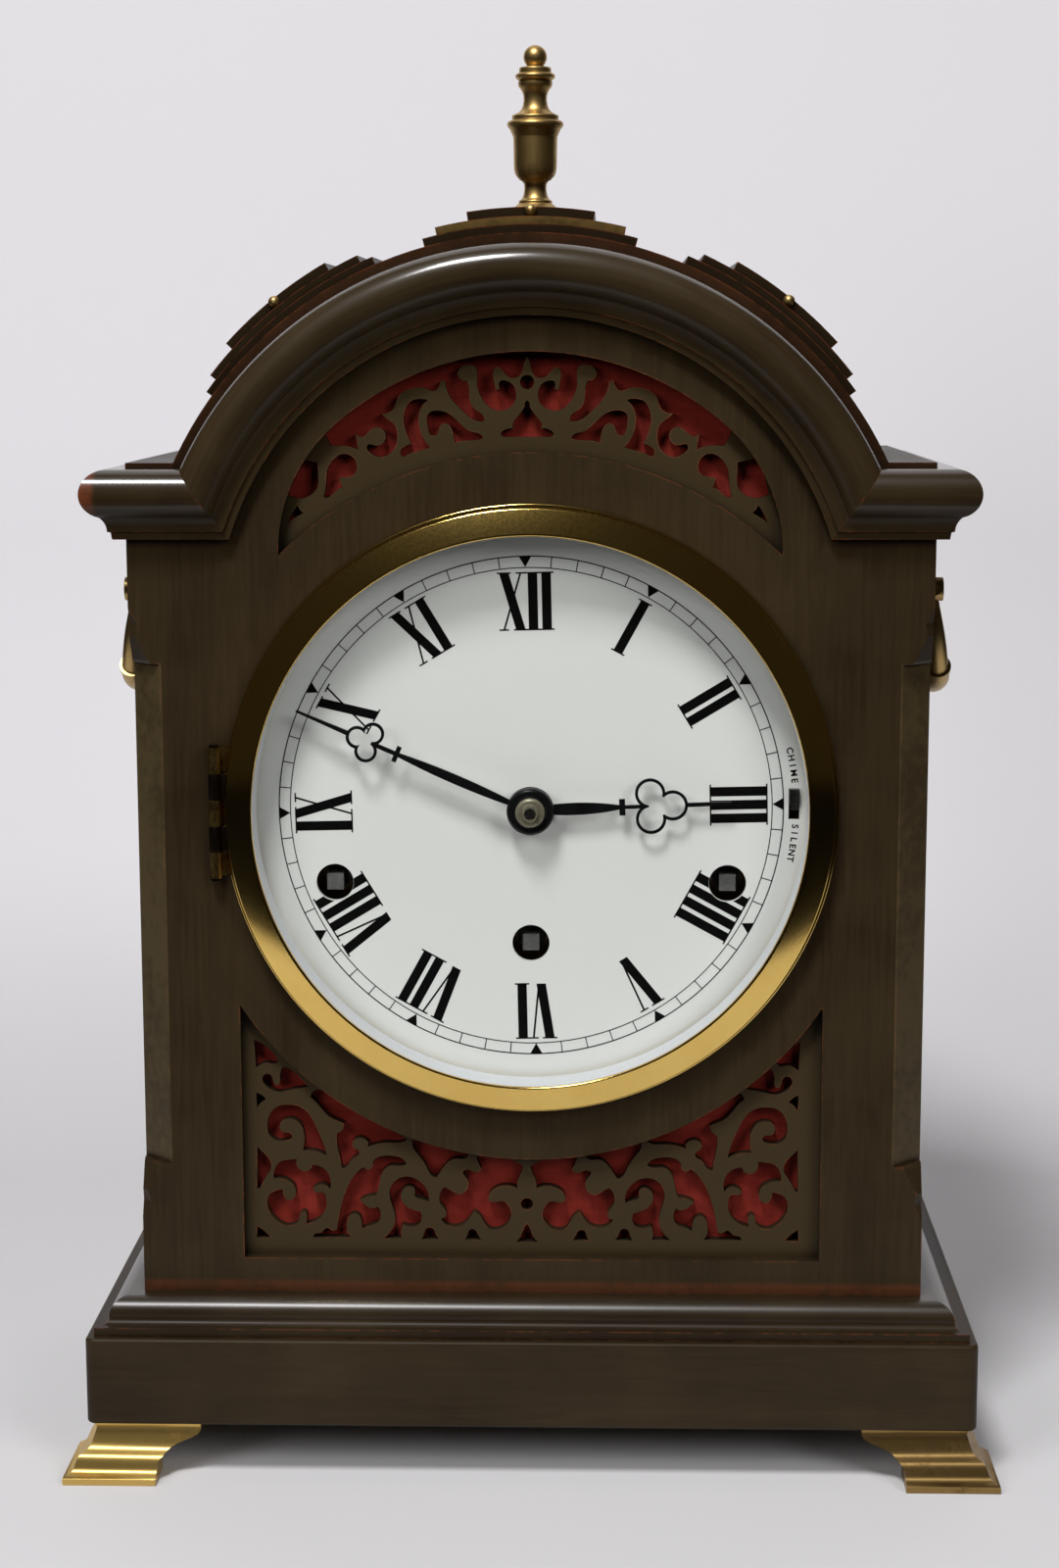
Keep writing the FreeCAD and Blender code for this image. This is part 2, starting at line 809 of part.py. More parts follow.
# Bracket feet: cast brass, an ogee front mitred round the corner, with a scrolled bracket at each end.
# Each point is (reach share from the block's face, height share, arc radius share of the height).
FOOT_SHARES = [
    (0.85, 0.0, None),
    (1.0, 0.03, None),
    (1.0, 0.12, -0.32),
    (0.3, 0.38, 0.09),
    (0.1, 0.5, -0.9),
    (-0.4, 0.92, 0.06),
    (-0.48, 1.0, None),
]
# The bracket's underside: (share of the wing's length, share of the height, arc radius share)
BRACKET_SHARES = [
    (0.0, 0.36, None),
    (0.1, 0.38, -0.55),
    (0.55, 0.68, 0.75),
    (1.0, 0.82, None),
]


def make_feet():
    tall = size("foot_height")
    reach = size("foot_reach")
    profile = [(block_front + size("foot_wall"), tall), (block_front + size("foot_wall"), 0)]
    for out_share, up_share, arc_share in FOOT_SHARES:
        point = (block_front - reach * out_share, tall * up_share)
        profile.append(point + (-(tall * arc_share),) if arc_share else point)
    inner = block_half - size("foot_length")
    wall = mitred("foot_wall", [(inner, block_front), (block_half, block_front),
                                (block_half, block_front + size("foot_length"))],
                  "YZ_Plane", profile, inner)
    plate_width = size("foot_plate_width")
    tuck = size("foot_wall") / 2
    plate = box("foot_top", plate_width, plate_width, size("foot_plate"), block_half - tuck - plate_width,
                block_front + tuck, tall - size("foot_plate"))
    wing = size("foot_length") - size("foot_toe")
    toe = block_half - size("foot_toe")
    under = [(toe, -overrun)]
    for along_share, up_share, arc_share in BRACKET_SHARES:
        point = (toe - wing * along_share, tall * up_share)
        under.append(point + (tall * arc_share,) if arc_share else point)
    under += [(inner - overrun, tall * BRACKET_SHARES[-1][1]), (inner - overrun, -overrun)]
    front_scroll = board("front_scroll", [under], block_front - reach - overrun,
                         size("foot_wall") + reach + overrun * 2)
    side_under = [(block_front + (block_half - point[0]), point[1]) + ((-point[2],) if len(point) == 3 else ())
                  for point in under]
    side_scroll = pad("side_scroll", "YZ_Plane", [side_under], size("foot_wall") + reach + overrun * 2,
                      block_half - size("foot_wall") - overrun)
    front_right = cut("front_right_foot", fuse("foot_blank", wall, plate), front_scroll, side_scroll)
    node("front_right_foot", front_right)
    node("front_left_foot", mirrored("front_left_foot", front_right))
    rear_right = mirrored("rear_right_foot", front_right, (0, 1, 0))
    node("rear_right_foot", rear_right)
    node("rear_left_foot", mirrored("rear_left_foot", rear_right))


def hinge_pin(name, radius, length, x, y, z):
    """Upright pin with a flat head above and below the knuckles."""
    head = radius * 1.6
    cap = radius * 0.8
    return turned(name, [
        (0, -cap),
        (head, -cap),
        (head, 0),
        (radius, 0),
        (radius, length),
        (head, length),
        (head, length + cap),
        (0, length + cap),
    ], "XZ_Plane", x, y, z)


# Bezel: a turned brass ring with a flange, a swelling band and a lip; the glass sits behind the lip.
# Its profile is (radius, distance in front of the case front).
def make_bezel():
    outer = bezel_outer
    flange = size("bezel_flange")
    rise = size("bezel_rise")
    sight = dial_radius - size("sight_inset")
    throat = sight + size("throat_bevel")
    seat = sight + size("glass_thickness") * 0.6
    glass_front = -(rise - size("glass_thickness"))
    spigot = size("bezel_spigot")
    rim = seat + size("bezel_wall")
    back = -(gap * 3)
    ring = turned("bezel_blank", [
        (rim, back),
        (rim, spigot),
        (seat, spigot),
        (seat, glass_front),
        (sight, glass_front),
        (sight, -(rise - flange * 0.3)),
        (throat, -rise),
        (throat + flange * 0.5, -rise, rise * 1.6),
        (outer - size("bezel_lip"), -flange),
        (outer, -flange),
        (outer, back),
    ], "XY_Plane", 0, case_front, dial_level)
    radius = size("knuckle_radius")
    length = size("knuckle_length")
    axis_x = -hinge_offset
    axis_y = case_front - size("knuckle_radius") - gap * 12
    tabs = []
    for number in (1, 3):
        foot = dial_level - length * 2.5 + length * number + gap
        barrel = cylinder(f"bezel_knuckle{number}", radius, length - gap * 2, axis_x, axis_y, foot)
        web = box(f"bezel_web{number}", hinge_offset - outer + radius * 2, radius - gap * 3,
                  length - gap * 2, axis_x, axis_y, foot)
        tabs += [barrel, web]
    bore = cylinder("bezel_hinge_bore", size("hinge_pin") + size("running_gap"), length * 5, axis_x, axis_y,
                    dial_level - length * 2.5)
    node("bezel_ring", cut("bezel_ring", fuse("bezel_solid", ring, *tabs), bore))
    glass = cylinder("bezel_glass", seat - gap, size("glass_thickness"), 0, case_front + glass_front,
                     dial_level, "Y")
    node("bezel_glass", glass)
    # The fixed leaf lies in its recess behind the bezel; three knuckles stand in front of it
    leaf = box("hinge_plate", size("leaf_width"), size("leaf_thickness"), length * 5, axis_x - radius,
               case_front, dial_level - length * 2.5)
    parts = [leaf]
    for number in (0, 2, 4):
        foot = dial_level - length * 2.5 + length * number
        parts.append(cylinder(f"fixed_knuckle{number}", radius, length, axis_x, axis_y, foot))
        parts.append(box(f"fixed_web{number}", radius * 1.3, case_front - axis_y + gap, length,
                         axis_x - radius, axis_y, foot))
    pin_bore = cylinder("fixed_hinge_bore", size("hinge_pin") + size("running_gap"), length * 5, axis_x,
                        axis_y, dial_level - length * 2.5)
    node("bezel_hinge_leaf", cut("bezel_hinge_leaf", fuse("leaf_solid", *parts), pin_bore))
    node("bezel_hinge_pin", hinge_pin("bezel_hinge_pin", size("hinge_pin"), length * 5, axis_x, axis_y,
                                      dial_level - length * 2.5))


# Winding holes, left to right
side_hole_x = dial_radius - size("side_hole_inset")


def winding_places():
    return {
        "strike": (-side_hole_x, dial_level - size("side_hole_drop")),
        "time": (as_size(0), dial_level - size("time_hole_drop")),
        "chime": (side_hole_x, dial_level - size("side_hole_drop")),
    }


# Motion work: 12 and 36 teeth, then 10 and 40, on one stud
CANNON_TEETH = 12
MINUTE_WHEEL_TEETH = 36
MINUTE_PINION_TEETH = 10
HOUR_WHEEL_TEETH = 40
STUD_ANGLE = 45.0

front_plate_front = dial_back + size("plate_gap")
front_plate_back = front_plate_front + size("plate_thickness")
back_plate_front = front_plate_back + size("plate_spacing")
back_plate_back = back_plate_front + size("plate_thickness")
stud_distance = size("gear_module") * ((CANNON_TEETH + MINUTE_WHEEL_TEETH) / 2)
stud_x = stud_distance * math.sin(math.radians(STUD_ANGLE))
stud_level = dial_level + stud_distance * math.cos(math.radians(STUD_ANGLE))


DIAL_FOOT_ANGLES = (30.0, 150.0, 270.0)
dial_feet = []


def make_dial():
    holes = [{"x": x, "y": level, "radius": size("dial_hole")} for x, level in winding_places().values()]
    holes.append({"x": as_size(0), "y": dial_level, "radius": size("hour_pipe_radius") + gap * 3})
    disc = {"x": as_size(0), "y": dial_level, "radius": dial_radius}
    half = size("lever_slot_width") / 2
    top = dial_level + size("lever_slot_rise") + size("lever_slot_height") / 2
    bottom = top - size("lever_slot_height")
    middle = dial_radius - size("lever_inset")
    slot = [(middle - half, bottom), (middle + half, bottom), (middle + half, top), (middle - half, top)]
    node("dial_plate", board("dial_plate", [disc, slot] + holes, dial_front, size("dial_thickness")))
    for number, angle in enumerate(DIAL_FOOT_ANGLES):
        circle = dial_radius - size("dial_foot_inset")
        x = circle * math.cos(math.radians(angle))
        level = dial_level + circle * math.sin(math.radians(angle))
        dial_feet.append(cylinder(f"dial_foot{number}", size("dial_foot_radius"), size("plate_gap"), x,
                                  dial_back, level, "Y"))
    # Chime and silent lever: a tongue through the slot on a foot behind the dial
    tongue_half = half - gap
    tongue = box("lever_tongue", tongue_half * 2, size("lever_proud") + size("dial_thickness") + gap * 2,
                 size("lever_height"), middle - tongue_half, dial_front - size("lever_proud"),
                 top - size("lever_height") - gap)
    foot_half = half + size("lever_foot_spread")
    foot = box("lever_foot", foot_half * 2, size("lever_foot"), size("lever_height") * 2,
               middle - foot_half, dial_back + gap / 2, top - size("lever_height") * 1.5)
    node("chime_lever", fuse("chime_lever", tongue, foot))


def gear_face(teeth, module, addendum_share, bore):
    """Flat toothed wheel at the origin in X and Z, one tooth pointing up."""
    pitch_radius = module * teeth / 2
    half_tooth = math.pi / teeth / 2
    # (radius offset in modules, tooth half width as a share of half the pitch)
    flank = [(-1.1, 1.12), (-0.25, 0.93), (0.35 * addendum_share, 0.72), (addendum_share, 0.34)]
    points = []
    for tooth in range(teeth):
        middle = 2 * math.pi * tooth / teeth
        for offset, width_share in flank:
            points.append((pitch_radius + module * offset, middle - half_tooth * width_share))
        for offset, width_share in reversed(flank):
            points.append((pitch_radius + module * offset, middle + half_tooth * width_share))
    corners = [vector(radius * math.sin(angle), 0, radius * math.cos(angle)) for radius, angle in points]
    face = Part.Face(Part.makePolygon(corners + corners[:1]))
    hole = Part.Face(Part.Wire(Part.makeCircle(bore, vector(), FreeCAD.Vector(0, 1, 0))))
    return face.cut(hole)


def gear(teeth, module, addendum_share, bore, front, thickness, turn=0.0):
    """Solid wheel with its front face at y = front, turned clockwise by `turn` degrees."""
    solid = gear_face(teeth, module, addendum_share, bore).extrude(vector(0, thickness, 0))
    solid.translate(vector(0, front, 0))
    solid.rotate(vector(), FreeCAD.Vector(0, 1, 0), turn)
    return solid


def tube(outer, inner, front, length):
    """Round tube along Y at the origin."""
    along = FreeCAD.Vector(0, 1, 0)
    solid = Part.makeCylinder(outer, length, vector(0, front, 0), along)
    return solid.cut(Part.makeCylinder(inner, length, vector(0, front, 0), along)) if inner else solid


def make_motion_work():
    module = float(size("gear_module"))
    second_module = float(stud_distance) * 2 / (MINUTE_PINION_TEETH + HOUR_WHEEL_TEETH)
    thin = float(size("gear_thickness"))
    long = float(size("pinion_length"))
    running = float(size("running_gap"))
    cannon = float(size("cannon_radius"))
    arbor = float(size("centre_arbor"))
    pipe = float(size("hour_pipe_radius"))
    stud = float(size("motion_stud_radius"))
    # Planes, from the front plate forwards
    cannon_front = float(front_plate_front - size("joint_gap") * 4) - long
    wheel_front = cannon_front + thin / 2
    hour_front = wheel_front - long
    hour_hand_back = float(dial_front - size("hour_hand_gap"))
    minute_hand_back = hour_hand_back - float(size("hand_thickness") + size("hand_gap"))
    # A tooth of the cannon pinion points at the stud, where the minute wheel shows a gap
    gap_turn = 180.0 / MINUTE_WHEEL_TEETH
    solid = gear(CANNON_TEETH, module, 0.7, arbor, cannon_front, long, STUD_ANGLE)
    solid = solid.fuse(tube(cannon, arbor, minute_hand_back, cannon_front - minute_hand_back))
    node("cannon_pinion", shaped("cannon_pinion", solid, 0, 0, dial_level))
    facing = STUD_ANGLE + 180.0
    solid = gear(MINUTE_WHEEL_TEETH, module, 0.85, stud + running, wheel_front, thin, facing + gap_turn)
    solid = solid.fuse(gear(MINUTE_PINION_TEETH, second_module, 0.6, stud + running, hour_front - thin / 4,
                            wheel_front - hour_front + thin / 4, facing))
    node("minute_wheel", shaped("minute_wheel", solid, stud_x, 0, stud_level))
    hour_turn = STUD_ANGLE + 180.0 / HOUR_WHEEL_TEETH
    solid = gear(HOUR_WHEEL_TEETH, second_module, 0.8, cannon + running, hour_front, thin, hour_turn)
    solid = solid.fuse(tube(pipe, cannon + running, hour_hand_back, hour_front - hour_hand_back))
    node("hour_wheel", shaped("hour_wheel", solid, 0, 0, dial_level))
    arbor_front = dial_front - size("hour_hand_gap") - size("hand_thickness") * 2 - size("hand_gap") \
        - size("hub_depth") - size("nut_depth")
    node("centre_arbor", cylinder("centre_arbor", size("centre_arbor"), back_plate_back - arbor_front, 0,
                                  arbor_front, dial_level, "Y"))


# Hands: a boss, a swelling arm, a crossbar, an open trefoil and a pointer.
# Shares of the hand's length; the arm starts at the boss with the first of its half widths.
HANDS = {
    "minute_hand": {
        "arm": (0.01, (0.32, 0.0185), (0.57, 0.0075)),
        "bar": (0.571, 0.0095, 0.032),
        "link": (0.675, 0.0085),
        "lobes": ((0.687, 0.037), (0.687, -0.037), (0.739, 0.0)),
        "lobe": (0.0445, 0.0325),
        "heart": (0.705, 0.025),
        "pointer": (0.775, 0.0095, 0.0045),
    },
    "hour_hand": {
        "arm": (0.025, (0.25, 0.03), (0.45, 0.0095)),
        "bar": (0.457, 0.015, 0.041),
        "link": (0.57, 0.009),
        "lobes": ((0.598, 0.064), (0.598, -0.064), (0.708, 0.0)),
        "lobe": (0.0755, 0.0605),
        "heart": (0.64, 0.05),
        "pointer": (0.775, 0.0105, 0.009),
    },
}


def disc(x, z, radius):
    circle = Part.makeCircle(radius, vector(x, 0, z), FreeCAD.Vector(0, 1, 0))
    return Part.Face(Part.Wire(circle))


def outline_face(points):
    corners = [vector(x, 0, z) for x, z in points]
    return Part.Face(Part.makePolygon(corners + corners[:1]))


def hand_solid(shares, length, boss, lap, bore, thickness):
    """Flat hand in X and Z, pointing up."""
    def at(along, across):
        return vector(across * length, 0, along * length)

    root_half, widest, tip = shares["arm"]
    arm_points = [vector(root_half * length, 0, boss - lap), at(*widest), at(*tip)]
    mirrored_points = [vector(-point.x, 0, point.z) for point in arm_points]
    arm = Part.Face(Part.Wire([
        Part.Arc(*arm_points).toShape(),
        Part.LineSegment(arm_points[2], mirrored_points[2]).toShape(),
        Part.Arc(*reversed(mirrored_points)).toShape(),
        Part.LineSegment(mirrored_points[0], arm_points[0]).toShape(),
    ]))
    bar_at, bar_half, bar_reach = (share * length for share in shares["bar"])
    bar = outline_face([(-bar_reach, bar_at - bar_half), (bar_reach, bar_at - bar_half),
                        (bar_reach, bar_at + bar_half), (-bar_reach, bar_at + bar_half)])
    link_end, link_half = (share * length for share in shares["link"])
    link = outline_face([(-link_half, bar_at), (link_half, bar_at), (link_half, link_end),
                         (-link_half, link_end)])
    outer, inner = (share * length for share in shares["lobe"])
    lobes = [(across * length, along * length) for along, across in shares["lobes"]]
    pointer_at, base_half, tip_half = (share * length for share in shares["pointer"])
    pointer = outline_face([(-base_half, pointer_at), (base_half, pointer_at), (tip_half, length - tip_half),
                            (-tip_half, length - tip_half)])
    rings = [disc(x, z, outer) for x, z in lobes]
    heart_at, heart_radius = (share * length for share in shares["heart"])
    open_faces = [disc(x, z, inner) for x, z in lobes] + [disc(0, heart_at, heart_radius)]
    trefoil = rings[0].multiFuse(rings[1:]).cut(open_faces[0].multiFuse(open_faces[1:]))
    faces = [arm, bar, link, trefoil, pointer, disc(0, length - tip_half, tip_half)]
    solids = [face.extrude(vector(0, thickness, 0)) for face in faces]
    body = solids[0].multiFuse(solids[1:] + [tube(boss, 0, 0, thickness)])
    return body.cut(tube(bore, 0, 0, thickness)).removeSplitter()


def make_hands():
    thickness = float(size("hand_thickness"))
    hour_front = dial_front - size("hour_hand_gap") - size("hand_thickness")
    minute_front = hour_front - size("hand_gap") - size("hand_thickness")
    specs = (
        ("hour_hand", "hour_inset", "hour_angle", hour_front, size("cannon_radius") + size("running_gap")),
        ("minute_hand", "minute_inset", "minute_angle", minute_front, size("centre_arbor")),
    )
    for name, inset, angle, front, bore in specs:
        length = float(dial_radius - size(inset))
        solid = hand_solid(HANDS[name], length, float(size("hub_radius")), float(size("hub_lap")), float(bore),
                           thickness)
        turn = FreeCAD.Rotation(FreeCAD.Vector(0, 1, 0), float(size(angle)))
        node(name, place(shaped(name, solid), 0, front, dial_level, turn))
    arbor = size("centre_arbor")
    hub = size("hub_radius")
    depth = size("hub_depth")
    node("hand_bush", turned("hand_bush", [
        (arbor, 0),
        (arbor, -depth),
        (hub * 0.66, -depth),
        (hub * 0.7, -(depth * 0.8)),
        (hub * 0.86, -(depth * 0.8), hub * 0.2),
        (hub, 0),
    ], "XY_Plane", 0, minute_front, dial_level))
    nut = size("nut_radius")
    tall = size("nut_depth")
    node("hand_nut", turned("hand_nut", [
        (arbor, 0),
        (arbor, -(tall * 0.95)),
        (nut * 0.55, -(tall * 0.95)),
        (nut * 0.62, -(tall * 0.6)),
        (nut * 0.8, -(tall * 0.6), nut * 0.25),
        (nut, -(tall * 0.3)),
        (nut, 0),
    ], "XY_Plane", 0, minute_front - depth, dial_level))


# Movement: two brass plates on four pillars, three barrels with winding arbors, on a seat board
def make_movement():
    # The great wheels just clear each other
    pitch_x, pitch_z = side_hole_x, size("time_hole_drop") - size("side_hole_drop")
    great_wheel = root(pitch_x * pitch_x + pitch_z * pitch_z) / 2 - size("barrel_clearance")
    half = dial_radius + size("plate_overlap")
    foot = dial_level - size("time_hole_drop") - great_wheel - size("plate_foot_margin")
    top = dial_level + size("plate_rise")
    outline = [(-half, foot), (half, foot), (half, top), (-half, top)]
    arbor_hole = size("arbor_radius") + size("running_gap")
    holes = [{"x": x, "y": level, "radius": arbor_hole} for x, level in winding_places().values()]
    holes.append({"x": as_size(0), "y": dial_level, "radius": size("centre_arbor") + size("running_gap")})
    front = board("front_plate_blank", [outline] + holes, front_plate_front, size("plate_thickness"))
    stud_length = size("plate_gap") * 0.75
    stud = cylinder("motion_stud", size("motion_stud_radius"), stud_length + gap, stud_x,
                    front_plate_front - stud_length, stud_level, "Y")
    node("front_plate", fuse("front_plate", front, stud))
    node("back_plate", board("back_plate", [outline] + holes, back_plate_front, size("plate_thickness")))
    inset = size("pillar_inset")
    pillars = [
        cylinder(f"pillar_{x_name}_{z_name}", size("pillar_radius"), size("plate_spacing"), x,
                 front_plate_back, level, "Y")
        for x_name, x in (("left", -(half - inset)), ("right", half - inset))
        for z_name, level in (("low", foot + inset), ("high", top - inset))
    ]
    node("movement_pillars", group("movement_pillars", *pillars, *dial_feet))
    for name, (x, level) in winding_places().items():
        bore = size("arbor_radius") + size("running_gap")
        front_face = size("great_wheel_thickness")
        length = size("barrel_length")
        node(f"{name}_barrel", turned(f"{name}_barrel", [
            (bore, 0),
            (great_wheel, 0),
            (great_wheel, front_face),
            (great_wheel - size("great_wheel_rim"), front_face),
            (great_wheel - size("great_wheel_rim"), length),
            (bore, length),
        ], "XY_Plane", x, front_plate_back + size("barrel_offset"), level))
        shaft_front = front_plate_front - size("plate_thickness")
        shaft = cylinder(f"{name}_shaft", size("arbor_radius"), back_plate_back - shaft_front, x, shaft_front,
                         level, "Y")
        square = size("arbor_square")
        square_front = dial_front + size("square_recess")
        end = box(f"{name}_square", square, shaft_front - square_front + gap, square, x - square / 2,
                  square_front, level - square / 2)
        node(f"{name}_arbor", fuse(f"{name}_arbor", shaft, end))
    seat_top = foot
    inner_half = case_half - size("side_thickness")
    seat_front = board_back + size("joint_gap")
    depth = back_plate_back - seat_front
    seat = box("seat_plank", inner_half * 2, depth, size("seat_thickness"), -inner_half, seat_front,
               seat_top - size("seat_thickness"))
    cleat_level = seat_top - size("seat_thickness") - size("cleat_height")
    cleats = [
        box(f"{side}_cleat", size("cleat_width"), depth, size("cleat_height"), left, seat_front, cleat_level)
        for side, left in (("left", -inner_half), ("right", inner_half - size("cleat_width")))
    ]
    node("seat_board", fuse("seat_board", seat, *cleats))


# Frets: sawn from thin board behind each opening. The openings are given for the left half as runs of
# places (distance from the middle, height) in shares of the opening's half width, from the middle of its
# lower edge. A run is smooth and meets the next run at a corner.
LOWER_OPENING_SHARES = [
    # spandrel
    [
        [(0.944, 0.77), (0.913, 0.754), (0.884, 0.73)],
        [(0.862, 0.697), (0.874, 0.685), (0.903, 0.689), (0.922, 0.682)],
        [(0.939, 0.671)],
    ],
    # bud
    [
        [(0.758, 0.603), (0.79, 0.598), (0.828, 0.59), (0.857, 0.584), (0.886, 0.592), (0.907, 0.607),
         (0.918, 0.627), (0.913, 0.643), (0.902, 0.649), (0.888, 0.644), (0.881, 0.627), (0.876, 0.613),
         (0.867, 0.608), (0.857, 0.618), (0.856, 0.638), (0.853, 0.658)],
        [(0.843, 0.675), (0.81, 0.659), (0.78, 0.63)],
    ],
    # side high
    [
        [(0.94, 0.581), (0.924, 0.575)],
        [(0.906, 0.557), (0.926, 0.543)],
        [(0.938, 0.524)],
    ],
    # great curl
    [
        [(0.697, 0.357), (0.715, 0.419), (0.737, 0.469), (0.758, 0.506), (0.788, 0.531), (0.828, 0.539),
         (0.868, 0.531), (0.895, 0.502), (0.903, 0.464), (0.897, 0.429), (0.871, 0.41), (0.838, 0.41),
         (0.817, 0.423), (0.826, 0.437), (0.848, 0.44), (0.86, 0.46), (0.852, 0.48), (0.829, 0.488),
         (0.799, 0.48), (0.781, 0.456), (0.774, 0.417)],
        [(0.78, 0.375), (0.742, 0.373)],
    ],
    # side middle
    [
        [(0.939, 0.387), (0.913, 0.36), (0.894, 0.332), (0.893, 0.31), (0.908, 0.283), (0.922, 0.26)],
        [(0.931, 0.237)],
        [(0.943, 0.236)],
    ],
    # trefoil
    [
        [(0.883, 0.273), (0.88, 0.306), (0.862, 0.332), (0.831, 0.341)],
        [(0.802, 0.344), (0.801, 0.318), (0.784, 0.301), (0.761, 0.303)],
        [(0.749, 0.323), (0.724, 0.319), (0.698, 0.3), (0.685, 0.269)],
        [(0.688, 0.234), (0.706, 0.251), (0.729, 0.25)],
        [(0.747, 0.237), (0.733, 0.223), (0.712, 0.223), (0.701, 0.2), (0.705, 0.16), (0.726, 0.129),
         (0.756, 0.113)],
        [(0.774, 0.109), (0.77, 0.133), (0.776, 0.152), (0.79, 0.15), (0.797, 0.125), (0.812, 0.108),
         (0.844, 0.102), (0.876, 0.12), (0.898, 0.147), (0.908, 0.182), (0.899, 0.214), (0.874, 0.23)],
        [(0.852, 0.233), (0.849, 0.21), (0.835, 0.195), (0.815, 0.202), (0.807, 0.225), (0.817, 0.252),
         (0.847, 0.27)],
    ],
    # side low
    [
        [(0.944, 0.1), (0.925, 0.086)],
        [(0.898, 0.06)],
        [(0.947, 0.058)],
    ],
    # trunk
    [
        [(0.749, 0.06), (0.742, 0.073), (0.72, 0.079), (0.699, 0.095), (0.682, 0.086)],
        [(0.665, 0.091), (0.658, 0.134), (0.646, 0.188), (0.625, 0.246), (0.597, 0.292)],
        [(0.57, 0.316), (0.551, 0.307)],
        [(0.536, 0.321), (0.532, 0.342), (0.507, 0.356), (0.466, 0.357), (0.433, 0.347)],
        [(0.419, 0.328), (0.445, 0.32), (0.478, 0.32), (0.501, 0.301), (0.513, 0.266), (0.519, 0.236)],
        [(0.528, 0.213), (0.557, 0.209)],
        [(0.582, 0.197), (0.565, 0.179), (0.542, 0.168)],
        [(0.521, 0.173), (0.511, 0.142), (0.523, 0.115), (0.551, 0.104)],
        [(0.575, 0.092), (0.579, 0.123), (0.589, 0.142), (0.606, 0.147), (0.623, 0.136), (0.63, 0.108),
         (0.628, 0.079)],
        [(0.614, 0.061)],
    ],
    # long leaf
    [
        [(0.752, 0.565), (0.742, 0.586), (0.724, 0.594), (0.694, 0.579), (0.643, 0.545), (0.583, 0.515),
         (0.51, 0.474), (0.443, 0.435)],
        [(0.415, 0.416), (0.437, 0.405), (0.484, 0.405), (0.533, 0.396)],
        [(0.555, 0.389), (0.554, 0.408), (0.57, 0.419), (0.592, 0.419), (0.607, 0.403), (0.6, 0.384),
         (0.586, 0.375), (0.586, 0.361), (0.607, 0.346), (0.626, 0.319)],
        [(0.646, 0.311), (0.653, 0.357), (0.662, 0.411)],
        [(0.66, 0.438), (0.643, 0.449)],
        [(0.635, 0.472), (0.655, 0.481), (0.68, 0.492), (0.706, 0.515), (0.728, 0.544)],
    ],
    # wedge
    [
        [(0.397, 0.416), (0.326, 0.402), (0.259, 0.383)],
        [(0.203, 0.366), (0.218, 0.348), (0.251, 0.348), (0.281, 0.329), (0.3, 0.302)],
        [(0.315, 0.279), (0.329, 0.284), (0.351, 0.321), (0.377, 0.36), (0.396, 0.389)],
    ],
    # small curl
    [
        [(0.344, 0.192), (0.345, 0.227), (0.367, 0.261), (0.4, 0.28), (0.437, 0.28), (0.464, 0.262),
         (0.479, 0.232), (0.477, 0.197), (0.465, 0.159), (0.461, 0.12), (0.473, 0.09)],
        [(0.501, 0.059)],
        [(0.437, 0.059), (0.44, 0.088)],
        [(0.432, 0.11), (0.405, 0.101), (0.378, 0.109), (0.368, 0.129)],
        [(0.372, 0.156), (0.401, 0.164), (0.427, 0.181), (0.44, 0.209), (0.432, 0.236), (0.411, 0.247),
         (0.392, 0.238), (0.39, 0.211), (0.368, 0.201)],
    ],
    # first eye
    [
        [(0.37, 0.056), (0.359, 0.079), (0.349, 0.097), (0.331, 0.097), (0.32, 0.078)],
        [(0.306, 0.058)],
    ],
    # second eye
    [
        [(0.219, 0.056), (0.207, 0.077), (0.198, 0.093), (0.185, 0.093), (0.172, 0.077)],
        [(0.159, 0.056)],
    ],
    # star
    [
        [(0.176, 0.359), (0.121, 0.361), (0.066, 0.35)],
        [(0.012, 0.323), (0.018, 0.303), (0.029, 0.277)],
        [(0.032, 0.242), (0.066, 0.252), (0.099, 0.247), (0.125, 0.229)],
        [(0.134, 0.2), (0.11, 0.193), (0.085, 0.196), (0.063, 0.177), (0.055, 0.146), (0.071, 0.111), (0.1,
         0.093), (0.13, 0.095), (0.149, 0.118), (0.167, 0.146)],
        [(0.186, 0.156), (0.201, 0.133), (0.223, 0.11), (0.26, 0.102), (0.287, 0.113)],
        [(0.301, 0.132), (0.282, 0.145), (0.286, 0.164), (0.301, 0.183), (0.305, 0.214), (0.296, 0.237)],
        [(0.286, 0.246), (0.259, 0.23), (0.233, 0.22), (0.209, 0.237), (0.204, 0.264), (0.214, 0.283),
         (0.223, 0.301), (0.21, 0.309), (0.181, 0.301)],
        [(0.157, 0.312), (0.169, 0.334)],
    ],
    # middle eye
    [
        [(0.0, 0.115), (0.011, 0.096), (0.022, 0.069)],
        [(0.04, 0.049)],
        [(-0.01, 0.05)],
        [(-0.01, 0.101)],
    ],
]
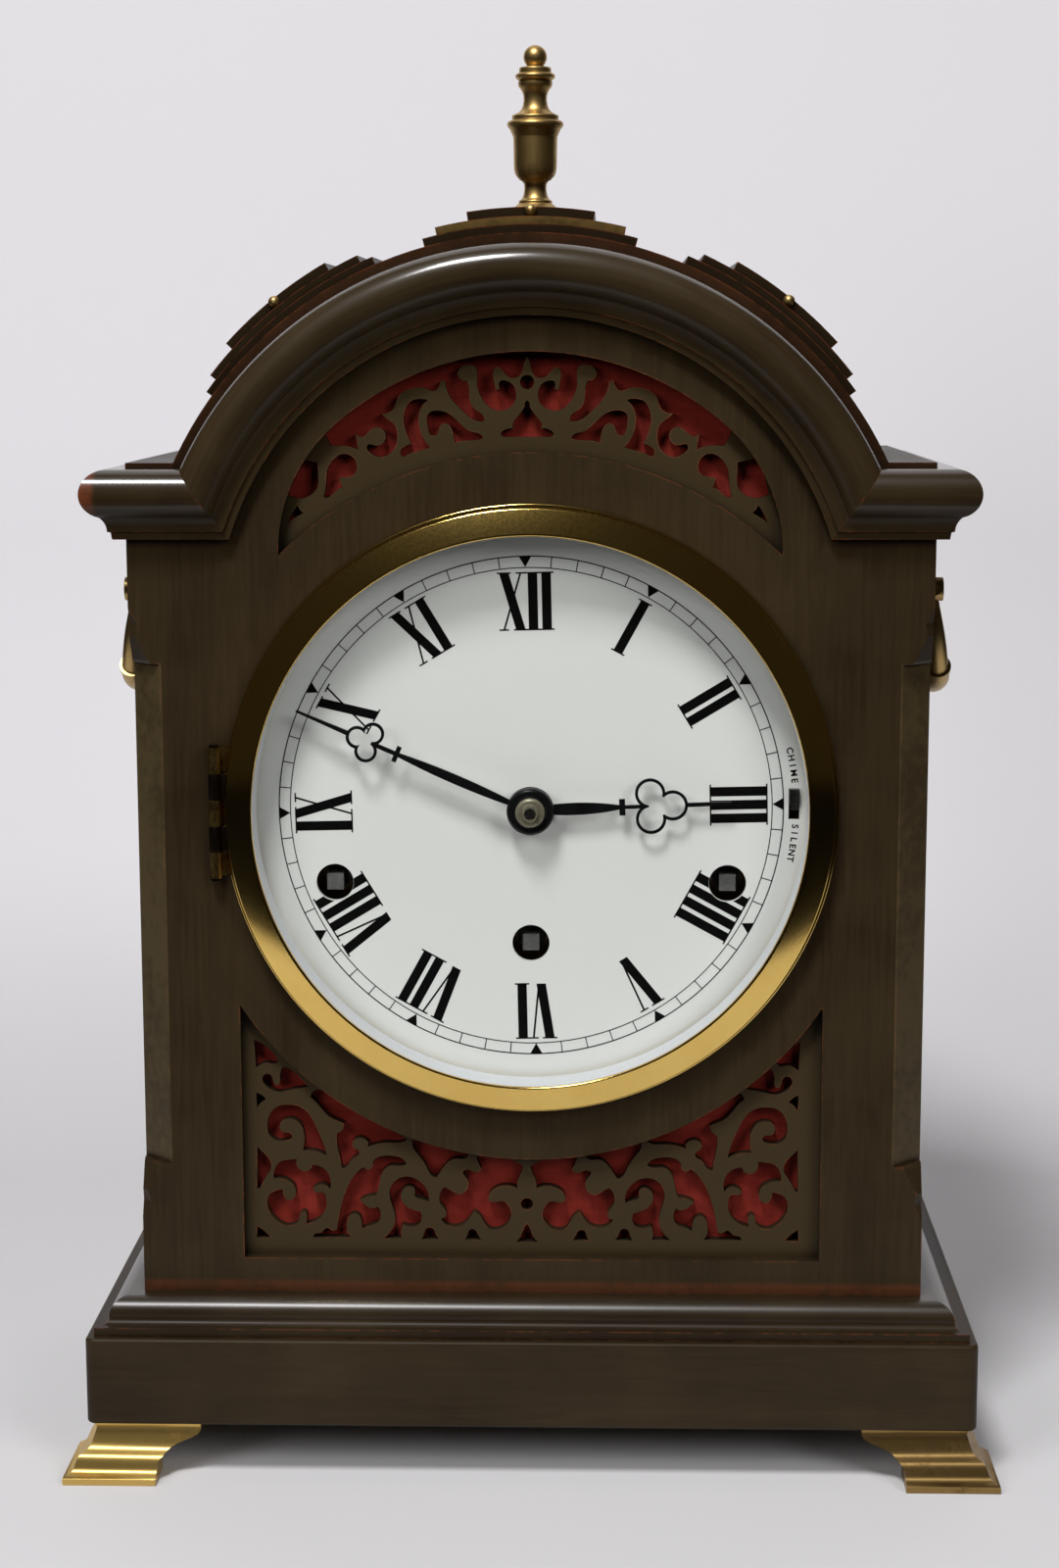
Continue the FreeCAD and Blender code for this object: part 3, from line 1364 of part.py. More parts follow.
UPPER_OPENING_SHARES = [
    # end
    [
        [(0.954, -0.281), (0.934, -0.24)],
        [(0.914, -0.209), (0.905, -0.228)],
        [(0.891, -0.241), (0.922, -0.258)],
    ],
    # outer end
    [
        [(0.919, -0.182), (0.891, -0.182), (0.861, -0.17), (0.835, -0.143), (0.829, -0.105)],
        [(0.831, -0.042)],
        [(0.922, -0.021)],
        [(0.958, -0.171)],
    ],
    # tip curl
    [
        [(0.811, -0.176), (0.8, -0.131), (0.791, -0.062), (0.765, -0.026), (0.732, -0.008), (0.699,
         -0.015), (0.676, -0.055), (0.687, -0.088), (0.715, -0.1)],
        [(0.746, -0.1), (0.741, -0.123)],
        [(0.732, -0.143), (0.771, -0.164), (0.802, -0.181)],
    ],
    # crest
    [
        [(0.779, 0.023), (0.744, 0.024), (0.702, 0.02)],
        [(0.67, 0.009), (0.674, 0.038)],
        [(0.68, 0.071), (0.647, 0.062), (0.624, 0.083), (0.595, 0.097), (0.567, 0.083), (0.561, 0.055),
         (0.579, 0.029), (0.609, 0.027), (0.63, 0.029), (0.636, 0.017), (0.621, -0.005), (0.588, -0.02),
         (0.55, -0.011), (0.524, 0.017), (0.514, 0.062), (0.524, 0.105), (0.548, 0.126)],
        [(0.576, 0.15), (0.547, 0.155), (0.53, 0.167), (0.514, 0.205)],
        [(0.495, 0.231), (0.454, 0.249), (0.404, 0.249), (0.362, 0.24), (0.347, 0.258)],
        [(0.341, 0.279)],
        [(0.322, 0.275), (0.316, 0.238), (0.287, 0.191), (0.245, 0.15), (0.199, 0.121), (0.169, 0.124),
         (0.175, 0.144), (0.207, 0.167), (0.228, 0.212), (0.231, 0.258)],
        [(0.24, 0.279), (0.262, 0.284), (0.274, 0.302), (0.263, 0.328), (0.231, 0.341), (0.204, 0.332),
         (0.196, 0.308), (0.198, 0.267), (0.187, 0.225), (0.16, 0.184), (0.124, 0.162), (0.081, 0.167),
         (0.051, 0.191), (0.043, 0.228), (0.052, 0.258), (0.076, 0.276), (0.101, 0.279)],
        [(0.108, 0.246)],
        [(0.125, 0.241), (0.131, 0.279), (0.133, 0.313), (0.122, 0.331), (0.098, 0.32), (0.072, 0.293),
         (0.039, 0.291), (0.019, 0.316), (0.01, 0.349)],
        [(0.0, 0.373)],
        [(-0.012, 0.39)],
        [(-0.012, 0.461)],
        [(0.429, 0.428)],
        [(0.828, 0.114)],
    ],
    # bow
    [
        [(0.488, 0.112), (0.48, 0.171), (0.463, 0.196), (0.426, 0.208)],
        [(0.391, 0.203), (0.415, 0.179), (0.429, 0.143), (0.427, 0.096), (0.412, 0.055)],
        [(0.383, 0.017), (0.432, 0.003), (0.474, -0.011), (0.495, -0.018), (0.503, 0.0), (0.482, 0.023)],
        [(0.46, 0.033), (0.477, 0.071)],
    ],
    # inner bow
    [
        [(0.397, 0.129), (0.385, 0.155), (0.347, 0.162), (0.304, 0.146), (0.262, 0.108), (0.221, 0.079),
         (0.183, 0.067), (0.175, 0.056), (0.195, 0.047), (0.245, 0.044)],
        [(0.287, 0.035), (0.295, 0.079), (0.313, 0.108), (0.333, 0.111), (0.347, 0.096), (0.359, 0.067),
         (0.377, 0.064), (0.392, 0.088)],
    ],
    # arch
    [
        [(0.0, 0.203), (0.014, 0.17), (0.039, 0.137), (0.057, 0.111)],
        [(0.054, 0.09), (0.09, 0.086), (0.104, 0.074)],
        [(0.093, 0.058)],
        [(-0.01, 0.058)],
        [(-0.01, 0.191)],
    ],
]
# Round eyes on the middle line: (height share, radius share)
LOWER_EYE_SHARES = (0.187, 0.021)
UPPER_EYE_SHARES = (0.273, 0.028)


def smooth_edge(places):
    if len(places) == 2:
        return Part.LineSegment(*places).toShape()
    curve = Part.BSplineCurve()
    curve.interpolate(places)
    return curve.toShape()


def piercings(name, openings, eye, half, middle, level):
    """The sawn openings of both halves, as solids through the board."""
    faces = []
    for side in (1, -1):
        for runs in openings:
            starts = [run[0] for run in runs]
            edges = []
            for run, after in zip(runs, starts[1:] + starts[:1]):
                edges.append(smooth_edge([vector(middle - half * across * side, 0, level + half * up)
                                          for across, up in run + [after]]))
            faces.append(Part.Face(Part.Wire(edges)))
    faces.append(disc(float(middle), float(level + half * eye[0]), float(half * eye[1])))
    through = vector(0, size("fret_thickness") + overrun * 2, 0)
    solids = [face.extrude(through) for face in faces]
    return shaped(name, solids[0].multiFuse(solids[1:]), 0, case_front + size("fret_recess") - overrun, 0)


def make_frets():
    rebate = size("fret_rebate") - gap
    front = case_front + size("fret_recess")
    thickness = size("fret_thickness")
    specs = (
        ("lower", lower_fret_outline, LOWER_OPENING_SHARES, LOWER_EYE_SHARES, size("lower_fret_half"),
         -size("lower_fret_shift"), lower_fret_foot),
        ("upper", upper_fret_outline, UPPER_OPENING_SHARES, UPPER_EYE_SHARES, size("upper_fret_half"),
         -size("upper_fret_shift"), dial_level + size("upper_fret_arc")),
    )
    for name, outline, openings, eye, half, middle, level in specs:
        blank = board(f"{name}_fret_blank", [outline(rebate)], front, thickness)
        limit = board(f"{name}_fret_limit", [outline(gap * 8)], front - overrun, thickness + overrun * 2)
        sawn = common(f"{name}_sawn", piercings(f"{name}_piercings", openings, eye, half, middle, level),
                      limit)
        node(f"{name}_fret", cut(f"{name}_fret", blank, sawn))
        node(f"{name}_cloth", board(f"{name}_cloth", [outline(rebate)], front + thickness,
                                    size("cloth_thickness")))


# Carrying handles: a brass bail with a thick grip hangs from two posts on round roses.
# Half of its course: (along the span, down from the pivots, share of the way from wire to grip).
BAIL_SHARES = [
    (1.0, 0.0, 0.0),
    (1.03, 0.2, 0.05),
    (1.04, 0.4, 0.2),
    (0.97, 0.62, 0.36),
    (0.83, 0.82, 0.5),
    (0.46, 0.955, 0.85),
    (0.0, 1.0, 1.0),
]
COLLAR_NUMBER = 4


def make_handles():
    level = block_top + size("handle_level")
    axis_x = case_half + size("handle_offset")
    wire = float(size("handle_wire"))
    grip = float(size("handle_grip"))
    drop = float(size("handle_drop"))
    span = float(size("handle_half_span"))
    lean = float(size("handle_lean"))
    places = [(-along, down, thick) for along, down, thick in BAIL_SHARES]
    places += [(along, down, thick) for along, down, thick in reversed(BAIL_SHARES[:-1])]
    centres = [vector(lean * down, along * span, -down * drop) for along, down, _ in places]
    circles = []
    collars = []
    for number, (_, _, thick) in enumerate(places):
        course = centres[min(number + 1, len(centres) - 1)] - centres[max(number - 1, 0)]
        radius = wire + (grip - wire) * thick
        circles.append(Part.Wire(Part.makeCircle(radius, centres[number], course)))
        if number in (COLLAR_NUMBER, len(places) - 1 - COLLAR_NUMBER):
            course.normalize()
            collars.append(Part.makeCylinder(radius * 1.22, wire, centres[number] - course * wire / 2, course))
    bail = Part.makeLoft(circles, True, False)
    post_reach = size("post_radius") + size("handle_wire") * 1.2 + gap * 2
    pins = [
        Part.makeCylinder(wire, float(post_reach + size("post_radius") * 0.8), centre,
                          FreeCAD.Vector(0, math.copysign(1, centre.y), 0))
        for centre in (centres[0], centres[-1])
    ]
    knees = [Part.makeSphere(wire * 1.1, centre) for centre in (centres[0], centres[-1])]
    right = shaped("right_bail", bail.multiFuse(pins + knees + collars), axis_x, 0, level)
    node("right_bail", right)
    node("left_bail", mirrored("left_bail", right))
    posts = []
    for end, sign in (("front", -1), ("rear", 1)):
        post_y = (size("handle_half_span") + post_reach) * sign
        rose = cylinder(f"{end}_rose", size("rose_radius"), size("rose_thickness"), case_half, post_y, level, "X")
        post = cylinder(f"{end}_post", size("post_radius"), size("handle_offset") + size("post_wall"),
                        case_half, post_y, level, "X")
        bore = cylinder(f"{end}_post_bore", size("handle_wire") + size("running_gap"), size("post_radius") * 4,
                        axis_x, post_y - size("post_radius") * 2, level, "Y")
        posts.append(cut(f"{end}_post_bored", fuse(f"{end}_post_solid", rose, post), bore))
    right_posts = group("right_posts", *posts)
    node("right_posts", right_posts)
    node("left_posts", mirrored("left_posts", right_posts))


# Back door furniture: two butt hinges on the right as seen from the front, and a turning knob
def make_back_furniture():
    radius = size("back_knuckle")
    length = size("back_knuckle_length")
    axis_x = door_half
    axis_y = case_back + radius + gap
    fixed, moving, pins = [], [], []
    for end, level in (("low", block_top + size("door_foot") + size("back_hinge_rise")),
                       ("high", arch_level - size("back_hinge_rise"))):
        leaf_height = length * 3
        bottom = level - leaf_height / 2
        pins.append(hinge_pin(f"{end}_pin", radius * 0.5, leaf_height, axis_x, axis_y, bottom))
        for number in (0, 1, 2):
            barrel = cylinder(f"{end}_barrel{number}", radius, length - gap * 2, axis_x, axis_y,
                              bottom + length * number + gap)
            bore = cylinder(f"{end}_bore{number}", radius * 0.5 + size("running_gap"), length, axis_x, axis_y,
                            bottom + length * number)
            width = size("back_leaf_width")
            left = axis_x - width - gap * 4 if number == 1 else axis_x + gap * 4
            leaf = box(f"{end}_leaf{number}", width, radius * 0.6, length - gap * 2, left, case_back,
                       bottom + length * number + gap)
            web_left = axis_x - radius if number == 1 else axis_x
            web = box(f"{end}_web{number}", radius, radius, length - gap * 2, web_left, case_back,
                      bottom + length * number + gap)
            (moving if number == 1 else fixed).append(
                cut(f"{end}_knuckle{number}", fuse(f"{end}_knuckle_solid{number}", barrel, leaf, web), bore))
    node("back_hinge_frames", group("back_hinge_frames", *fixed))
    node("back_hinge_flaps", group("back_hinge_flaps", *moving))
    node("back_hinge_pins", group("back_hinge_pins", *pins))
    knob = size("knob_radius")
    deep = size("knob_depth")
    shank = size("knob_shank")
    knob_x = -(door_half - size("door_gap") - knob * 2)
    node("door_knob", turned("door_knob", [
        (0, 0),
        (knob * 0.8, 0),
        (knob * 0.8, deep * 0.12),
        (shank, deep * 0.2),
        (shank, deep * 0.45),
        (knob * 0.9, deep * 0.55),
        (knob, deep * 0.66),
        (knob, deep * 0.8),
        (knob * 0.75, deep * 0.93),
        (knob * 0.3, deep),
        (0, deep),
    ], "XY_Plane", knob_x, case_back, dial_level))


def main():
    make_base_block()
    make_base_moulding()
    make_front_board()
    make_carcase()
    make_back()
    make_roof()
    make_cornice()
    make_pads()
    make_finial()
    make_feet()
    make_bezel()
    make_dial()
    make_motion_work()
    make_hands()
    make_movement()
    make_frets()
    make_handles()
    make_back_furniture()
    document.recompute()


main()
for name, feature in nodes.items():
    shape = feature.Shape
    if "Invalid" in feature.State or shape.isNull() or not shape.isValid() or not shape.Solids:
        raise RuntimeError(f"{name} is not a sound solid: {feature.State}")
    print(name, len(shape.Solids), round(shape.Volume), shape.BoundBox)
os.makedirs("parts", exist_ok=True)
for name, feature in nodes.items():
    feature.Shape.exportStep(f"parts/{name}.step")
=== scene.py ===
import math

import bmesh
import bpy
from mathutils import Matrix, Vector


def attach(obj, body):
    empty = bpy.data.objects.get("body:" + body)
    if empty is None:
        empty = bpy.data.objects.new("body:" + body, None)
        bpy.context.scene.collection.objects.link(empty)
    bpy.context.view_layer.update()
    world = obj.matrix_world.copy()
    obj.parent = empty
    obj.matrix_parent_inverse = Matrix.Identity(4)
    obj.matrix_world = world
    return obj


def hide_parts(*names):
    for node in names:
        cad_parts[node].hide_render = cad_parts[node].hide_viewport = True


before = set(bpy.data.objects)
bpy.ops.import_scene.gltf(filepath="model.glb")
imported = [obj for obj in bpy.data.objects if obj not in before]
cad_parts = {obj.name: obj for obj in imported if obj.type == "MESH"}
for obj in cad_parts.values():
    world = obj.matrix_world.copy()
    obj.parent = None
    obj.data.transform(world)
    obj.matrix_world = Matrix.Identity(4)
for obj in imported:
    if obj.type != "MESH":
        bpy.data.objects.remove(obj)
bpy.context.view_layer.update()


# Base block: one thick board of hardwood, its corners softened, laid flat under the whole clock.
# It is painted dark olive over a red-brown ground and rubbed back, so the ground shows at the arrises.
class Shade:
    """A socket of a material, so that what varies over a surface is written as arithmetic."""

    def __init__(self, tree, socket):
        self.tree = tree
        self.socket = socket

    def node(self, kind, inputs, output=0, **settings):
        """Any node: its settings are made first, then the values or links of its sockets."""
        made = self.tree.nodes.new("ShaderNode" + kind)
        for setting, value in settings.items():
            setattr(made, setting, value)
        for socket, value in inputs.items():
            if isinstance(value, Shade):
                self.tree.links.new(value.socket, made.inputs[socket])
            else:
                made.inputs[socket].default_value = value
        return Shade(self.tree, made.outputs[output])

    def maths(self, operation, first, second=0.0, clamp=False):
        return self.node("Math", {0: first, 1: second}, operation=operation, use_clamp=clamp)

    def __add__(self, other):
        return self.maths("ADD", self, other)

    def __sub__(self, other):
        return self.maths("SUBTRACT", self, other)

    def __mul__(self, other):
        return self.maths("MULTIPLY", self, other)

    def __truediv__(self, other):
        return self.maths("DIVIDE", self, other)

    def __rsub__(self, other):
        return self.maths("SUBTRACT", other, self)

    __radd__ = __add__
    __rmul__ = __mul__

    def between(self, low, high):
        """0 below low, 1 above high, smooth between; high may be the lower number."""
        return self.node("MapRange", {"Value": self, "From Min": low, "From Max": high},
                         interpolation_type="SMOOTHSTEP")

    def noise(self, scale, detail=3.0, rough=0.5):
        return self.node("TexNoise", {"Vector": self, "Scale": scale, "Detail": detail, "Roughness": rough})

    def stretched(self, x, y, z):
        return self.node("VectorMath", {0: self, 1: (x, y, z)}, operation="MULTIPLY")

    def parts(self):
        split = self.node("SeparateXYZ", {"Vector": self})
        return [Shade(self.tree, socket) for socket in split.socket.node.outputs]

    def colours(self, dark, light):
        """Mixes two colours by this number."""
        made = self.node("Mix", {}, output=2, data_type="RGBA")
        mix = made.socket.node
        for socket, value in ((mix.inputs[0], self), (mix.inputs[6], dark), (mix.inputs[7], light)):
            if isinstance(value, Shade):
                self.tree.links.new(value.socket, socket)
            else:
                socket.default_value = (*value, 1)
        return made

    def bump(self, strength, distance):
        return self.node("Bump", {"Height": self, "Strength": strength, "Distance": distance})


def finish(name, constants=None):
    """A new material with its shader, its colour left open, and the places on the piece."""
    material = bpy.data.materials.new(name)
    material.use_nodes = True
    tree = material.node_tree
    shader = tree.nodes["Principled BSDF"]
    for socket, value in (constants or {}).items():
        shader.inputs[socket].default_value = value
    places = tree.nodes.new("ShaderNodeTexCoord").outputs["Object"]
    return material, shader, Shade(tree, places)


def feed(shader, **varying):
    """Joins what varies to the shader's sockets: base_color goes to Base Color."""
    for name, value in varying.items():
        socket = shader.inputs[name.replace("_", " ").title()]
        value.tree.links.new(value.socket, socket)


def dress(material, *names):
    """Gives a finish to pieces of the part."""
    for name in names:
        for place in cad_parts[name].material_slots:
            place.material = material


PAINT_DARK = (0.0165, 0.0092, 0.0038)
PAINT_OLIVE = (0.0420, 0.0280, 0.0120)
GROUND_RED = (0.1500, 0.0400, 0.0150)
GROUND_PALE = (0.3600, 0.2900, 0.1800)
# Painted shade: the near-black colour laid into hollows and inner corners.
HOLLOW_SHADE = (0.0045, 0.0034, 0.0022)
BRUSH_RUNS = {"X": (0.05, 1, 1), "Y": (1, 0.05, 1), "Z": (1, 1, 0.05)}
ARC_RUN = 0.005
ARCH_LEVEL = 0.2285
HOLLOW_REACH = 0.011
ARRIS_RADIUS = 0.0006


def round_distance(x, z, level):
    """Distance from the line that runs from front to back through the middle at a height."""
    rise = z - level
    return x.maths("SQRT", x * x + rise * rise)


def painted_wood(name, run, olive=0.5, wear=0.5, rough=0.42, polish=None, sheen=0.16, patches=()):
    """Olive paint rubbed back over red ground. run is the way of the brush: X, Z, Y or ARC.
    polish tells from the place where it is polished; each patch tells where another colour shows."""
    material, shader, spot = finish(name, {"IOR": 1.45, "Specular IOR Level": 0.22, "Coat IOR": 1.5,
                                           "Coat Roughness": sheen})
    x, y, z = spot.parts()
    if run == "ARC":
        angle = spot.maths("ARCTAN2", x, z - ARCH_LEVEL)
        radius = round_distance(x, z, ARCH_LEVEL)
        brush = spot.node("CombineXYZ", {"X": radius, "Y": y, "Z": angle * ARC_RUN})
    else:
        brush = spot.stretched(*BRUSH_RUNS[run])
    streak = brush.noise(900, 4, 0.6)
    band = brush.noise(110, 2, 0.5)
    cloud = spot.noise(26, 4, 0.6)
    fleck = spot.noise(420, 2, 0.5)
    tone = (streak * 0.35 + band * 0.3 + cloud * 0.55 + (olive - 0.6)).between(0.2, 0.85)
    # Painted shade: ambient occlusion finds the hollows and inner corners, and the paint is darkened there.
    shelter = spot.node("AmbientOcclusion", {"Distance": HOLLOW_REACH}, output=1, samples=6)
    hollow = shelter.between(0.75, 0.25)
    colour = tone.colours(PAINT_DARK, PAINT_OLIVE)
    for patch, beneath in patches:
        bare = patch(x, y, z) * ((cloud * 0.7 + fleck * 0.4).between(0.40, 0.62) * 0.55 + 0.45)
        colour = bare.colours(colour, beneath)
    soft = spot.node("Bevel", {"Radius": ARRIS_RADIUS}, samples=4)
    flat = spot.node("NewGeometry", {}, output=3)
    turned = spot.node("VectorMath", {0: soft, 1: flat}, output=1, operation="DOT_PRODUCT")
    edge = turned.between(0.985, 0.86)
    rubbed = edge * (cloud * 0.6 + fleck * 0.55).between(0.62 - wear * 0.16, 0.72 - wear * 0.1)
    colour = rubbed.colours(colour, GROUND_RED)
    chipped = edge * fleck.between(0.7, 0.74) * cloud.between(0.52, 0.6)
    colour = (chipped * wear).colours(colour, GROUND_PALE)
    colour = (hollow * 0.85).colours(colour, HOLLOW_SHADE)
    dull = streak * 0.12 + cloud * 0.16 + (rough - 0.14)
    feed(shader, base_color=colour, roughness=dull + rubbed * 0.12,
         normal=(streak * 0.6 + band * 0.4).bump(0.12, 0.0004))
    if polish:
        feed(shader, coat_weight=polish(x, y, z) * (1 - hollow) * (cloud * 0.5 + 0.7))
    return material


block_paint = painted_wood("block_paint", "X", olive=0.5, wear=0.55, rough=0.48)
dress(block_paint, "base_block")


# Plinth moulding: a run of planed hardwood moulding, mitred at the corners and glued down round the
# case's foot; its round nose is polished by handling.
PLINTH_NOSE = (0.0425, 0.0445)


def plinth_nose(x, y, z):
    return z.between(*PLINTH_NOSE)


run_paint = painted_wood("run_paint", "X", olive=0.4, wear=0.6, rough=0.42, polish=plinth_nose, sheen=0.3)
dress(run_paint, "base_moulding")


# Front board: one upright board, sawn out for the dial and both frets, its front corners canted
# between moulded stops. The grain stands upright and shows faintly through the paint; the side boards
# behind it are painted alike.
FRONT_FACES = (-0.0550, -0.0580)
BOARD_FOOT = (0.0520, 0.0500)
CANT_PLACE = 0.1564
CANT_SKIN = (0.0006, 0.0003)
CANT_FOOT = (0.0840, 0.0860)
CANT_TOP = (0.2210, 0.2190)
# Painted highlight: the lighter olive laid on the canted corners.
CANT_HIGHLIGHT = (0.0780, 0.0560, 0.0250)


def foot_line(x, y, z):
    """The foot of the front, rubbed through just above the moulding."""
    return z.between(*BOARD_FOOT) * y.between(*FRONT_FACES) * 0.42


def lit_cants(x, y, z):
    """The canted corners, coloured lighter as a painted highlight for the light they catch. They lie where
    |x| - y is CANT_PLACE.
    """
    off = x.maths("ABSOLUTE", x.maths("ABSOLUTE", x) - y - CANT_PLACE)
    return off.between(*CANT_SKIN) * z.between(*CANT_FOOT) * z.between(*CANT_TOP) * 0.75


board_paint = painted_wood("board_paint", "Z", olive=0.54, wear=0.4, rough=0.5,
                           patches=[(foot_line, GROUND_RED), (lit_cants, CANT_HIGHLIGHT)])
dress(board_paint, "front_board", "left_side", "right_side")


# Back frame and back door: hardwood stained dark and left thin in finish, because they stand against
# the wall. The door hangs in the frame's arched opening. The floor and the seat board that carries
# the movement are bare wood, seen only through the open door.
GRAIN_RUNS = {"X": (0.06, 1, 1), "Z": (1, 1, 0.06)}
YEAR_RINGS = 14


def stained_wood(name, run, dark, light):
    """Hardwood with its grain along X or Z."""
    material, shader, spot = finish(name, {"IOR": 1.48})
    grain = spot.stretched(*GRAIN_RUNS[run])
    figure = spot.maths("FRACT", grain.noise(70, 5, 0.6) * YEAR_RINGS)
    pores = grain.noise(1500, 3, 0.6)
    tone = (figure * 0.35 + pores * 0.5 + spot.noise(18, 3) * 0.5).between(0.3, 0.95)
    feed(shader, base_color=tone.colours(dark, light), roughness=pores * 0.2 + 0.45,
         normal=pores.bump(0.15, 0.0005))
    return material


back_stain = stained_wood("back_stain", "Z", (0.022, 0.012, 0.007), (0.058, 0.032, 0.017))
dress(back_stain, "back_frame", "back_door")
inner_wood = stained_wood("inner_wood", "X", (0.13, 0.075, 0.036), (0.26, 0.16, 0.085))
dress(inner_wood, "case_floor", "seat_board")


# Arched roof and shoulders: a thin board bent over the case's arch, with a flat board at each side of
# it, glued down and painted. Their front ends are rubbed, so a little red shows there.
def roof_ends(x, y, z):
    return y.between(*FRONT_FACES) * 0.14


roof_paint = painted_wood("roof_paint", "Y", olive=0.3, wear=0.9, rough=0.42,
                          patches=[(roof_ends, GROUND_RED)])
dress(roof_paint, "arch_roof", "right_shoulder", "left_shoulder")


# Cornice: a turned half ring over the arch, mitred to straight runs along the shoulders and sides.
# Its broad nose is the glossiest part of the case.
ARCH_NOSE = (0.0890, 0.0925)
RUN_NOSE = (0.2600, 0.2635)
LEFT_END = (-0.1115, -0.1135)
CORNER_FRONT = (-0.0600, -0.0680)


def arch_nose(x, y, z):
    return round_distance(x, z, ARCH_LEVEL).between(*ARCH_NOSE)


def run_nose(x, y, z):
    return z.between(*RUN_NOSE)


def worn_corner(x, y, z):
    """The left run's front corner, rubbed through."""
    return x.between(*LEFT_END) * y.between(*CORNER_FRONT)


arch_paint = painted_wood("arch_paint", "ARC", olive=0.56, wear=0.3, rough=0.42, polish=arch_nose)
dress(arch_paint, "cornice_arch")
cornice_paint = painted_wood("cornice_paint", "X", olive=0.54, wear=0.75, rough=0.42, polish=run_nose,
                             patches=[(worn_corner, GROUND_RED)])
dress(cornice_paint, "cornice_right", "cornice_left")


# Roof pads: three pads of thin boards bent to the arch, each board stepped back from the one below,
# glued on and painted. A small brass stud stands on each of the two outer pads.
LAYER_FOOT = (0.1053, 0.1055)
LAYER_TOP = (0.1075, 0.1077)
LAYER_SIDES = (0.0320, 0.0270)
LAYER_OCHRE = (0.1100, 0.0680, 0.0200)


def middle_layer(x, y, z):
    """The middle pad's second layer, coloured ochre."""
    radius = round_distance(x, z, ARCH_LEVEL)
    layer = radius.between(*LAYER_FOOT) - radius.between(*LAYER_TOP)
    return layer * x.maths("ABSOLUTE", x).between(*LAYER_SIDES)


pad_paint = painted_wood("pad_paint", "ARC", olive=0.3, wear=0.9, rough=0.4,
                         patches=[(middle_layer, LAYER_OCHRE)])
dress(pad_paint, "centre_pad", "right_pad", "left_pad")


def brass(name, colour, tarnish, rough, dirt):
    """Brass from bright to aged; dirt is how much brown sits in clouds over it."""
    material, shader, spot = finish(name, {"Metallic": 1.0})
    cloud = spot.noise(90, 4, 0.6)
    scratch = spot.stretched(1, 1, 0.25).noise(1400, 3, 0.6)
    stain = (cloud * 0.8 + scratch * 0.3).between(0.72 - dirt * 0.4, 0.95 - dirt * 0.3)
    feed(shader, base_color=stain.colours(colour, tarnish),
         roughness=stain * 0.22 + scratch * 0.1 + (rough - 0.05),
         normal=(scratch * 0.5 + cloud * 0.5).bump(0.04, 0.0002))
    return material


aged_brass = brass("aged_brass_finish", (0.62, 0.42, 0.16), (0.17, 0.10, 0.038), 0.44, 0.35)
dress(aged_brass, "pad_studs")


# Finial: an urn turned in one piece from bar brass, with a ball on its neck, toned brown with age and
# screwed down through its foot on top of the middle pad.
SMOOTH_UNDER = math.radians(32)


def spun(name, profile, sides=72):
    """A shape turned round the upright line through the origin, from (radius, height) in millimetres."""
    bpy.ops.object.select_all(action="DESELECT")
    bpy.ops.mesh.primitive_circle_add(vertices=sides, radius=profile[0][0] / 1000)
    piece = bpy.context.object
    piece.name = name
    bpy.ops.object.mode_set(mode="EDIT")
    bpy.ops.mesh.select_all(action="SELECT")
    bpy.ops.transform.translate(value=(0, 0, profile[0][1] / 1000))
    for (radius, height), (next_radius, next_height) in zip(profile, profile[1:]):
        rise = (0, 0, (next_height - height) / 1000)
        bpy.ops.mesh.extrude_edges_move(TRANSFORM_OT_translate={"value": rise})
        wider = next_radius / radius
        bpy.ops.transform.resize(value=(wider, wider, 1), center_override=(0, 0, 0))
    bpy.ops.mesh.select_all(action="SELECT")
    bpy.ops.mesh.remove_doubles(threshold=0.00003)
    bpy.ops.mesh.normals_make_consistent(inside=False)
    bpy.ops.object.mode_set(mode="OBJECT")
    bpy.ops.object.shade_smooth_by_angle(angle=SMOOTH_UNDER)
    return piece


def arc_course(across, up, radius, first, last, steps):
    """Places along an arc, its angles in degrees."""
    turns = [math.radians(first + (last - first) * step / steps) for step in range(steps + 1)]
    return [(across + radius * math.cos(turn), up + radius * math.sin(turn)) for turn in turns]


FINIAL_SEAT = (0, 0.00545, 0.3386)
FINIAL_FOOT = [(0.01, 0.0), (7.5, 0.0), (7.5, 0.75), (7.2, 1.3), (6.4, 2.0), (5.6, 2.5), (4.9, 3.1),
               (4.75, 3.3)] + arc_course(4.15, 3.75, 0.5, -50, 70, 5)
FINIAL_STEM = [(3.95, 4.4), (3.65, 4.85), (3.3, 5.7), (3.08, 6.9), (3.1, 8.4), (3.4, 9.1), (3.95, 9.6)]
FINIAL_URN = [(4.5, 9.8), (4.7, 10.2), (5.2, 10.6), (5.65, 11.4), (5.92, 12.6), (6.0, 14.2), (6.03, 17.5),
              (6.12, 21.5), (6.3, 21.7), (6.35, 22.0), (6.75, 22.7), (7.0, 23.4), (7.25, 23.7)]
FINIAL_RIM = arc_course(6.75, 24.75, 1.08, -62, 62, 8) + [(6.5, 25.9), (6.45, 26.2)]
FINIAL_RIM += arc_course(5.9, 26.8, 0.6, -30, 80, 5)
FINIAL_NECK = [(5.5, 27.6), (4.6, 28.1), (3.9, 28.8), (3.45, 29.8), (3.22, 31.2), (3.25, 32.5), (3.55, 33.5),
               (4.1, 34.4), (4.6, 35.0), (4.75, 35.6), (4.7, 36.3), (4.45, 36.6), (4.9, 36.85)]
FINIAL_COLLAR = arc_course(4.75, 37.75, 0.78, -60, 70, 7)
FINIAL_COLLAR += [(4.45, 38.7), (4.45, 39.8), (4.2, 40.15), (3.4, 40.3), (2.6, 40.45), (2.25, 40.6)]
FINIAL_BALL = arc_course(0, 42.95, 3.25, -46, 89.8, 18)
